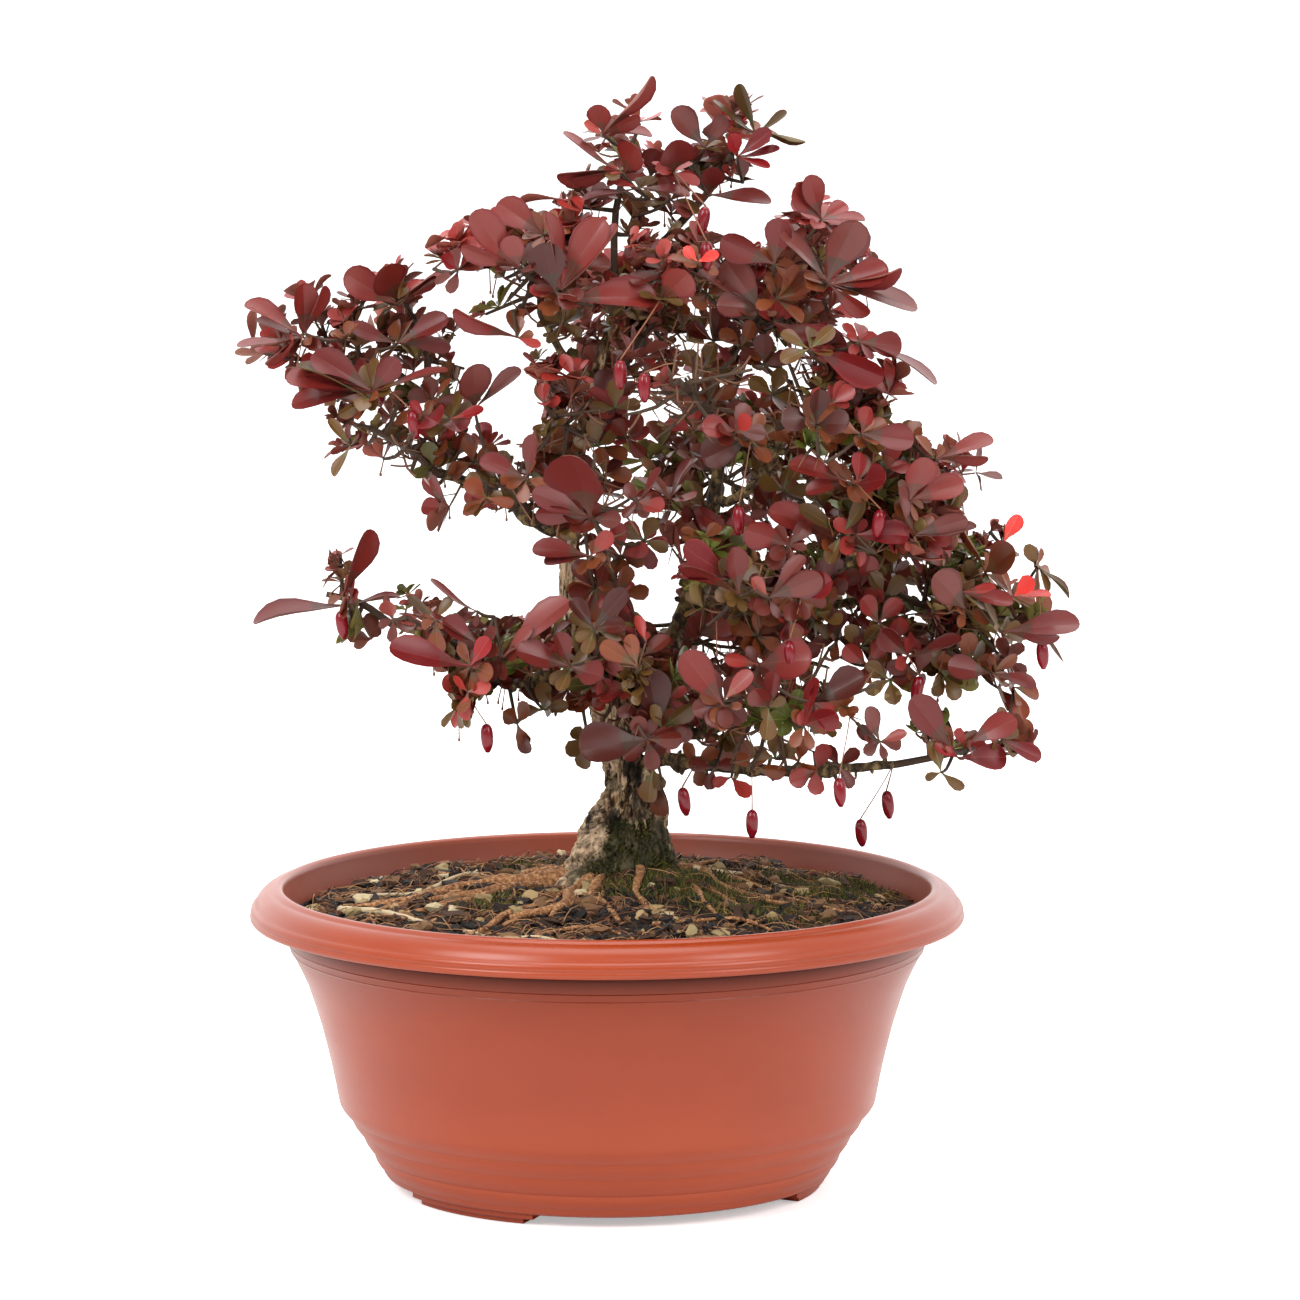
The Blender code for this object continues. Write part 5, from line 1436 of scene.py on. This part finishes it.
def potMaterial():
    # satin plastic: even colour with faint flow marks and fine scratches; painted shade and painted light are laid over
    # it after
    material = newMaterial("trainingPotPlastic", srgb(146, 51, 9), 0.34)
    tree = material.node_tree
    shader = tree.nodes["Principled BSDF"]
    ramp = grainy(material, [srgb(140, 48, 7), srgb(146, 51, 9), srgb(153, 55, 11)], 9, (1, 1, 2.2), (0.3, 0.7), 0.0)
    fine = addNode(tree, "ShaderNodeGroup", node_tree=grain)
    fine.inputs["Scale"].default_value = 900
    bump = addNode(tree, "ShaderNodeBump")
    bump.inputs["Strength"].default_value = 0.08
    bump.inputs["Distance"].default_value = 0.0002
    tree.links.new(fine.outputs["Height"], bump.inputs["Height"])
    tree.links.new(bump.outputs["Normal"], shader.inputs["Normal"])
    streak = addNode(tree, "ShaderNodeGroup", node_tree=grain)
    streak.inputs["Scale"].default_value = 26
    streak.inputs["Stretch"].default_value = (1, 1, 3)
    rough = addNode(tree, "ShaderNodeMapRange")
    rough.inputs["To Min"].default_value = 0.24
    rough.inputs["To Max"].default_value = 0.40
    tree.links.new(streak.outputs["Mask"], rough.inputs["Value"])
    tree.links.new(rough.outputs["Result"], shader.inputs["Roughness"])
    return material


plastic = potMaterial()
potPiece = spinProfile("potShell", potProfile(), pot["turnSteps"], 2 * math.pi, 0, [plastic])


def potShade(x, y, height):
    # red is painted shade in the fold under the rim, fading down the neck and upper wall; green painted light low on
    # the wall; blue a dusty film inside that also stands in as a painted sheen
    radius = math.hypot(x, y)
    insideRadii, insideHeights = zip(*pot["inside"][1:])
    if radius < np.interp(height, insideHeights, insideRadii) + pot["wallLeast"]:
        return 0, 0, pot["dustAndSheen"], 1
    paintedShade = np.interp(height, *zip(*pot["paintedShade"])) if radius < pot["foldReach"] and height < pot["foldTop"] else 0
    return float(paintedShade), float(np.interp(height, *zip(*pot["paintedLowLight"]))), 0, 1


shade = potPiece.data.attributes.new("potShade", "FLOAT_COLOR", "POINT")
tones = []
for v in potPiece.data.vertices:
    tones += potShade((v.co.x - axisX) / mm, v.co.y / mm, v.co.z / mm)
shade.data.foreach_set("color", tones)
plasticTree = plastic.node_tree
plasticShader = plasticTree.nodes["Principled BSDF"]
shadeTone = addNode(plasticTree, "ShaderNodeAttribute", attribute_name="potShade")
shadeParts = addNode(plasticTree, "ShaderNodeSeparateColor")
# the gloss is dulled where the shade is painted
dulled = addNode(plasticTree, "ShaderNodeMapRange")
dulled.inputs["To Min"].default_value = plasticShader.inputs["Specular IOR Level"].default_value
dulled.inputs["To Max"].default_value = 0.05
plasticTree.links.new(shadeTone.outputs["Color"], shadeParts.inputs["Color"])
plasticTree.links.new(shadeParts.outputs["Red"], dulled.inputs["Value"])
plasticTree.links.new(dulled.outputs["Result"], plasticShader.inputs["Specular IOR Level"])
# painted shade under the rim, painted light low on the wall, and a dust film with painted sheen inside
layTones(plastic, "potShade", ("Red", srgb(40, 10, 6), 0, 1), ("Green", srgb(196, 92, 56), 0, 1),
         ("Blue", srgb(222, 150, 134), 0, 1))
smoothByAngle(potPiece, 38)
carry(potPiece, "pot", "pot")
feet = pot["feet"]
footParts = []
for k in range(feet["count"]):
    heading = feet["first"] + k * 360 / feet["count"]
    for bottom, top, span, outer, inner in feet["tiers"]:
        ease = 0.35
        outline = ((inner, bottom), (outer - ease, bottom), (outer, bottom + ease), (outer, top - ease),
                   (outer - ease, top), (inner, top))
        # headings run from the front, and a spin turns clockwise
        start = math.radians(heading - 90 + span / 2)
        footParts.append(spinProfile("footPart", outline, 14, math.radians(span), start, [plastic]))
activate(footParts[0])
for part in footParts:
    part.select_set(True)
bpy.ops.object.join()
feetPiece = bpy.context.active_object
feetPiece.name = "potFeet"
smoothByAngle(feetPiece, 30)
carry(feetPiece, "pot", "pot")
stage("pot turned, with its three feet")


# Soil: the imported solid's own surface with crumbs laid over it
soil = dict(rings=82, around=288, crumb=1.9, fineCrumb=1.1, seat=0.45)
mossMounds = ((18, -14, 15, 5.0), (30, 4, 14, 3.5), (2, -10, 12, 2.5))  # x, y, spread, rise
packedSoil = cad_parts["soil"].data
soilTree = BVHTree.FromPolygons([v.co for v in packedSoil.vertices], [tuple(p.vertices) for p in packedSoil.polygons])


def soilSurface(x, y):
    hit = soilTree.ray_cast(Vector((x * mm + axisX, y * mm, 0.2)), -up)[0]
    height = hit.z / mm if hit else soilShape["edge"]
    fade = min(1.0, max(0.0, (soilShape["radius"] - math.hypot(x, y)) / 10))
    for middleX, middleY, spread, rise in mossMounds:
        height += rise * math.exp(-((x - middleX) ** 2 + (y - middleY) ** 2) / spread ** 2)
    coarse = noise.noise(Vector((x * 0.09, y * 0.09, 1.5)))
    fine = noise.noise(Vector((x * 0.32, y * 0.32, 9.0)))
    return height - 0.4 + (coarse * soil["crumb"] + fine * soil["fineCrumb"]) * fade


def soilMesh():
    around = soil["around"]
    verts = [(0, 0, soilSurface(0, 0))]
    turns = [2 * math.pi * k / around for k in range(around)]
    for i in range(1, soil["rings"] + 1):
        reach = soilShape["radius"] * i / soil["rings"]
        verts += [(reach * math.cos(a), reach * math.sin(a), soilSurface(reach * math.cos(a), reach * math.sin(a)))
                  for a in turns]
    faces = [(0, 1 + k, 1 + (k + 1) % around) for k in range(around)]
    rings = soil["rings"]
    for radius, height in reversed(pot["inside"][1:5]):
        # the underside of the filling follows the inside of the pot
        verts += [((radius - soil["seat"]) * math.cos(a), (radius - soil["seat"]) * math.sin(a), height + 0.3) for a in turns]
        rings += 1
    for i in range(rings - 1):
        a, b = 1 + i * around, 1 + (i + 1) * around
        faces += [(a + k, b + k, b + (k + 1) % around, a + (k + 1) % around) for k in range(around)]
    last = 1 + (rings - 1) * around
    faces.append(tuple(last + k for k in reversed(range(around))))
    return verts, faces


soilMaterial = newMaterial("soilMix", srgb(38, 26, 18), 0.95)
grainy(soilMaterial, [srgb(8, 6, 4), srgb(28, 18, 12), srgb(72, 48, 29)], 330, (1, 1, 1), (0.36, 0.7), 1.0, 0.0016)
carry(newObject("soilBed", *soilMesh(), [soilMaterial]), "soil", "soil")


def crumbModel(kind, change):
    # one rough stone or flat chip to copy from
    if kind == "chip":
        bpy.ops.mesh.primitive_cube_add(size=2)
        obj = bpy.context.active_object
        bpy.ops.object.mode_set(mode="EDIT")
        bpy.ops.mesh.select_all(action="SELECT")
        bpy.ops.mesh.subdivide(number_cuts=1)
        bpy.ops.object.mode_set(mode="OBJECT")
        for v in obj.data.vertices:
            v.co.z *= 0.34
            v.co += noise.noise_vector(v.co * 1.3 + Vector((change, 0, 0))) * 0.6
    else:
        bpy.ops.mesh.primitive_ico_sphere_add(subdivisions=2, radius=1)
        obj = bpy.context.active_object
        for v in obj.data.vertices:
            v.co *= 1 + 0.75 * noise.noise(v.co * 0.9 + Vector((change, 3, 1)))
            v.co += noise.noise_vector(v.co * 2.2 + Vector((0, change, 0))) * 0.22
            v.co.z *= 0.72
    points = [v.co.copy() for v in obj.data.vertices]
    rows = [tuple(p.vertices) for p in obj.data.polygons]
    bpy.data.objects.remove(obj)
    return points, rows


def spotOnSoil(rng, margin):
    while True:
        reach = (soilShape["radius"] - margin) * math.sqrt(rng.random())
        angle = rng.uniform(0, 2 * math.pi)
        x, y = reach * math.cos(angle), reach * math.sin(angle)
        if (Vector((x, y)) - trunkFoot.xy).length > trunk["stations"][0][3] + 0.6 * trunk["flare"]:
            return x, y


def scatter(name, kind, values, tints, seed):
    # stones or chips strewn over the soil, turned every way and sunk a little
    rng = random.Random(seed)
    models = [crumbModel(kind, 10 * k + seed) for k in range(4)]
    bins = [([], []) for _ in tints]
    for _ in range(values["count"]):
        size = values["size"][0] + (values["size"][1] - values["size"][0]) * rng.random() ** 1.6
        long = rng.uniform(*values["stretch"])
        x, y = spotOnSoil(rng, 2 + 0.5 * size * long)
        points, rows = rng.choice(models)
        tip = Matrix.Rotation(rng.uniform(-values["tilt"], values["tilt"]), 3, "X")
        turn = Matrix.Rotation(rng.uniform(0, 2 * math.pi), 3, "Z") @ tip
        z = soilSurface(x, y) + size * values["rise"]
        verts, faces = rng.choice(bins)
        first = len(verts)
        for p in points:
            q = turn @ Vector((p.x * long, p.y, p.z)) * size * 0.5
            verts.append((x + q.x, y + q.y, z + q.z))
        faces += [tuple(first + i for i in row) for row in rows]
    for i, (verts, faces) in enumerate(bins):
        piece = newObject("%s%d" % (name, i + 1), verts, faces, [tints[i]])
        smoothByAngle(piece, 24)
        carry(piece, "soil", "soil")


def plainTints(prefix, roughness, *colours):
    return [newMaterial("%s%d" % (prefix, i + 1), srgb(*c), roughness) for i, c in enumerate(colours)]


chips = dict(count=2150, size=(1.2, 4.4), stretch=(1.0, 2.0), tilt=1.1, rise=0.16)
chipTints = plainTints("barkChip", 0.85, (15, 10, 7), (34, 21, 14), (66, 42, 26), (112, 78, 50))
scatter("barkChips", "chip", chips, chipTints, 3)
stones = dict(count=215, size=(1.8, 6.0), stretch=(1.0, 1.7), tilt=1.2, rise=0.2)
stoneTints = plainTints("pumice", 0.8, (198, 180, 142), (170, 142, 98), (116, 84, 52), (152, 132, 90))
scatter("pumiceStones", "stone", stones, stoneTints, 8)

# Fine roots matted over the soil
hairs = dict(count=1800, length=(6, 26), radius=(0.10, 0.30), rise=3.0, seed=77)
hairTints = plainTints("hairRoot", 0.75, (116, 68, 38), (62, 36, 20), (176, 130, 86))
rng = random.Random(hairs["seed"])
hairTubes = [Tubes() for _ in hairTints]
for _ in range(hairs["count"]):
    x, y = spotOnSoil(rng, 5)
    heading, bend = rng.uniform(0, 2 * math.pi), rng.uniform(-1.8, 1.8)
    length, thick = rng.uniform(*hairs["length"]), rng.uniform(*hairs["radius"])
    lift = rng.uniform(0, hairs["rise"])
    points = []
    for j in range(6):
        t = j / 5
        angle = heading + bend * t + rng.uniform(-0.25, 0.25)
        x += math.cos(angle) * length / 6
        y += math.sin(angle) * length / 6
        if math.hypot(x, y) > soilShape["radius"] - 2:
            break
        spot = Vector((x, y, soilSurface(x, y) + 0.8 + lift * math.sin(math.pi * t)))
        points.append((spot, thick * (1 - 0.5 * t)))
    if len(points) > 2:
        rng.choice(hairTubes).add(points, 3)
for i, tubes in enumerate(hairTubes):
    carry(newObject("hairRoots%d" % (i + 1), tubes.verts, tubes.faces, [hairTints[i]]), "soil", "soil")

# Thicker roots that stray over the soil: look, radius at the start and end, lift at the start, places from above
strayRoots = (
    ("bone", 1.5, 1.0, 0, (-93, -12), (-85, -22), (-78, -32), (-71, -38), (-62, -50)),
    ("tan", 2.2, 0.8, 3, (-2, 8), (-14, 12), (-26, 14), (-35, 2), (-43, -17), (-56, -45), (-65, -58)),
    ("tan", 1.4, 0.9, 0, (-24, -48), (-33, -47), (-42, -62), (-56, -81)),
    ("tan", 2.2, 0.8, 0, (2, 4), (-3, -12), (-6, -28), (-1, -40), (5, -60)),
    ("tan", 2.0, 0.8, 0, (9, 2), (12, -14), (10, -26), (14, -42), (12, -62)),
    ("tan", 2.2, 0.7, 3, (10, 8), (24, 8), (34, 2), (40, -8), (52, -18), (66, -30)),
    ("bone", 1.0, 0.6, 1, (30, 2), (44, 14), (52, 22), (60, 8), (68, 12), (76, 2)),
    ("tan", 1.0, 0.5, 1, (24, 20), (40, 42), (58, 50), (70, 66)),
    ("tan", 1.0, 0.5, 1, (-18, 30), (-34, 52), (-52, 60)),
    ("bone", 1.0, 0.5, 2, (-10, 10), (-24, 22), (-38, 24), (-50, 16), (-66, 8), (-80, 12), (-92, 20)),
    ("tan", 1.3, 0.6, 1, (-19, 20), (-24, 4), (-20, -10), (-24, -26)),
    ("tan", 0.9, 0.5, 0, (16, -70), (30, -57), (44, -54), (58, -62)),
    ("tan", 0.9, 0.4, 0, (51, -17), (62, -9), (72, -30), (86, -34)),
    ("tan", 1.1, 0.5, 0, (-60, 30), (-44, 26), (-30, 30)),
    ("tan", 1.5, 0.6, 1, (-16, -2), (-34, -10), (-50, -22), (-70, -34), (-84, -38)),
    ("tan", 1.2, 0.5, 0, (-12, -12), (-22, -26), (-26, -44), (-40, -70)),
    ("tan", 1.0, 0.4, 0, (-50, -8), (-62, 2), (-74, -2), (-90, 4)),
    ("tan", 1.3, 0.5, 1, (20, -6), (30, -22), (34, -42), (46, -66)),
    ("tan", 1.1, 0.5, 0, (26, -2), (44, -30), (60, -44), (74, -60)),
    ("tan", 0.9, 0.4, 0, (-30, -80), (-14, -66), (0, -72), (12, -86)),
    ("bone", 0.8, 0.4, 0, (-48, -64), (-36, -74), (-22, -78), (-10, -90)),
    ("tan", 1.0, 0.5, 0, (40, 10), (58, 2), (78, -6), (94, -16)),
)
strayWander = 1.2
straySink = 0.55  # share of its radius that a root's middle stands above the soil
strayLooks = dict(bone=newMaterial("boneRoot", srgb(196, 176, 140), 0.75), tan=rootBark)
strayTubes = {look: Tubes() for look in strayLooks}
for look, thick, thin, lift, *places in strayRoots:
    points = []
    for j, (x, y) in enumerate(places):
        share = j / (len(places) - 1)
        radius = thick + (thin - thick) * share
        height = soilSurface(x, y) + 0.8 + radius * straySink + lift * max(0, 1 - 2.5 * share)
        wander = Vector((rng.uniform(-1, 1), rng.uniform(-1, 1), 0)) * strayWander
        points.append((Vector((x, y, height)) + wander, radius))
    strayTubes[look].add(resample(smoothPath(points, 6), 1.2), 8, rootRelief)
for look, tubes in strayTubes.items():
    carry(newObject(look + "StrayRoots", tubes.verts, tubes.faces, [strayLooks[look]]), "soil", "soil")

# Moss: small tufts round the foot of the trunk, up its right side, and in patches
moss = dict(count=24000, height=(1.4, 3.6), width=(0.32, 0.65), climb=24, seed=19)
mossPatches = (  # x, y, spread, share kept
    (16, -12, 24, 1.0), (30, -12, 20, 0.9), (8, 0, 22, 1.0), (10, 2, 16, 1.0), (44, -30, 18, 0.5),
    (84, 30, 20, 0.9), (68, 24, 18, 0.6), (80, 4, 16, 0.5), (58, -40, 18, 0.3), (-20, 40, 20, 0.4),
    (20, 60, 22, 0.5), (-40, -30, 16, 0.2),
)
bareFoot = trunk["stations"][0][3] + trunk["flare"]
mossTints = plainTints("moss", 0.85, (42, 46, 12), (72, 74, 22), (108, 102, 38))
mossBins = [([], []) for _ in mossTints]
rng = random.Random(moss["seed"])
for _ in range(moss["count"]):
    centreX, centreY, spread, kept = rng.choice(mossPatches)
    x, y = rng.gauss(centreX, spread * 0.45), rng.gauss(centreY, spread * 0.45)
    if rng.random() > kept or math.hypot(x, y) > soilShape["radius"] - 3:
        continue
    z = soilSurface(x, y) + 0.5
    lean = Vector((rng.uniform(-0.7, 0.7), rng.uniform(-0.7, 0.7), 1)).normalized()
    away = Vector((x, y)) - trunkFoot.xy
    if away.length < bareFoot:
        z = trunk["ground"] + moss["climb"] * rng.random() ** 1.7
        reach = 1.04 * (trunk["stations"][0][3] - 0.6 + flareAt(z))
        angle = rng.uniform(0, 2 * math.pi)
        if math.cos(angle + 0.7) < rng.uniform(-0.5, 0.7) + 0.5 * (z - trunk["ground"]) / moss["climb"]:
            continue
        out = Vector((math.cos(angle), math.sin(angle), 0))
        x, y = trunkFoot.x + reach * out.x, trunkFoot.y + reach * out.y
        lean = (out + up * 0.5 + lean * 0.3).normalized()
    side = lean.orthogonal().normalized() * rng.uniform(*moss["width"])
    other = lean.cross(side)
    base = Vector((x, y, z)) - lean * 0.4
    verts, faces = rng.choice(mossBins)
    a = len(verts)
    verts += [base + side, base - side * 0.5 + other * 0.8, base - side * 0.5 - other * 0.8,
              base + lean * rng.uniform(*moss["height"]) * (0.55 if away.length < bareFoot else 1)]
    faces += [(a, a + 1, a + 3), (a + 1, a + 2, a + 3), (a + 2, a, a + 3), (a + 2, a + 1, a)]
for i, (verts, faces) in enumerate(mossBins):
    carry(newObject("moss%d" % (i + 1), verts, faces, [mossTints[i]], smooth=False), "soil", "soil")
stage("soil dressed with chips, stones, roots and moss")


# floor, light and camera

bpy.ops.mesh.primitive_plane_add(size=60, location=(0, 0, -0.0002))
floor = bpy.context.active_object
floor.name = "paleFloor"
floorTone = dict(seen=(0.98, 0.98, 0.98, 1), bounced=(0.88, 0.87, 0.86, 1), glow=0.42)
floorMaterial = newMaterial("paleFloor", floorTone["seen"], 0.9)
floor.data.materials.append(floorMaterial)
floorTree = floorMaterial.node_tree
floorShader = floorTree.nodes["Principled BSDF"]
floorRays = addNode(floorTree, "ShaderNodeLightPath")
floorMix = addNode(floorTree, "ShaderNodeMix", data_type="RGBA")
floorMix.inputs[6].default_value = floorTone["bounced"]
floorMix.inputs[7].default_value = floorTone["seen"]
floorGlow = addNode(floorTree, "ShaderNodeMath", operation="MULTIPLY")
floorGlow.inputs[1].default_value = floorTone["glow"]
floorShader.inputs["Emission Color"].default_value = (1, 1, 1, 1)
floorTree.links.new(floorRays.outputs["Is Camera Ray"], floorMix.inputs[0])
floorTree.links.new(floorMix.outputs[2], floorShader.inputs["Base Color"])
floorTree.links.new(floorRays.outputs["Is Camera Ray"], floorGlow.inputs[0])
floorTree.links.new(floorGlow.outputs[0], floorShader.inputs["Emission Strength"])


def softBox(name, spot, aim, size, power):
    lamp = bpy.data.lights.new(name, "AREA")
    lamp.shape = "RECTANGLE"
    lamp.size, lamp.size_y = size
    lamp.energy = power
    obj = bpy.data.objects.new(name, lamp)
    obj.location = spot
    obj.rotation_euler = (Vector(aim) - Vector(spot)).to_track_quat("-Z", "Y").to_euler()
    bpy.context.scene.collection.objects.link(obj)
    return obj


lights = dict(key=34, fill=21, top=24, front=6, frontSky=0.36, backSky=1.6, shine=1.25, backdrop=1.1)
softBox("keyLight", (-1.35, -1.45, 1.5), (0, 0, 0.2), (0.9, 1.2), lights["key"])
softBox("fillLight", (1.4, -1.4, 1.25), (0, 0, 0.2), (0.8, 1.2), lights["fill"])
softBox("topLight", (0, 0.1, 2.0), (0, 0, 0.2), (1.6, 1.6), lights["top"])
softBox("frontLight", (0.35, -2.4, 1.85), (0, 0, 0.15), (0.9, 0.5), lights["front"])

world = bpy.data.worlds.new("studio")
world.use_nodes = True
bpy.context.scene.world = world
world.node_tree.nodes["Background"].inputs["Color"].default_value = (1, 1, 1, 1)
tree = world.node_tree
rays = addNode(tree, "ShaderNodeLightPath")
place = addNode(tree, "ShaderNodeTexCoord")
parts = addNode(tree, "ShaderNodeSeparateXYZ")
sky = addNode(tree, "ShaderNodeMapRange")
sky.inputs["From Min"].default_value = -0.7
sky.inputs["From Max"].default_value = 0.7
sky.inputs["To Min"].default_value = lights["frontSky"]
sky.inputs["To Max"].default_value = lights["backSky"]
gloss = addNode(tree, "ShaderNodeMapRange")
gloss.inputs["To Min"].default_value = 1
gloss.inputs["To Max"].default_value = lights["shine"]
shine = addNode(tree, "ShaderNodeMath", operation="MULTIPLY")
tree.links.new(place.outputs["Generated"], parts.inputs["Vector"])
tree.links.new(parts.outputs["Y"], sky.inputs["Value"])
strength = addNode(tree, "ShaderNodeMapRange")
strength.inputs["To Max"].default_value = lights["backdrop"]
tree.links.new(rays.outputs["Is Glossy Ray"], gloss.inputs["Value"])
tree.links.new(sky.outputs["Result"], shine.inputs[0])
tree.links.new(gloss.outputs["Result"], shine.inputs[1])
tree.links.new(shine.outputs[0], strength.inputs["To Min"])
tree.links.new(rays.outputs["Is Camera Ray"], strength.inputs["Value"])
tree.links.new(strength.outputs["Result"], tree.nodes["Background"].inputs["Strength"])
bpy.context.scene.view_settings.view_transform = "Standard"

cameraData = bpy.data.cameras.new("camera")
cameraData.sensor_width = 36
cameraData.lens = 5771.3 * 36 / 1300  # the photo is 1300 pixels square
camera = bpy.data.objects.new("camera", cameraData)
camera.location = (0.015 + axisX, -2.0, 0.4399)
camera.rotation_euler = (math.pi / 2 - 0.125, 0, 0)
bpy.context.scene.collection.objects.link(camera)
bpy.context.scene.camera = camera
bpy.ops.object.select_all(action="DESELECT")
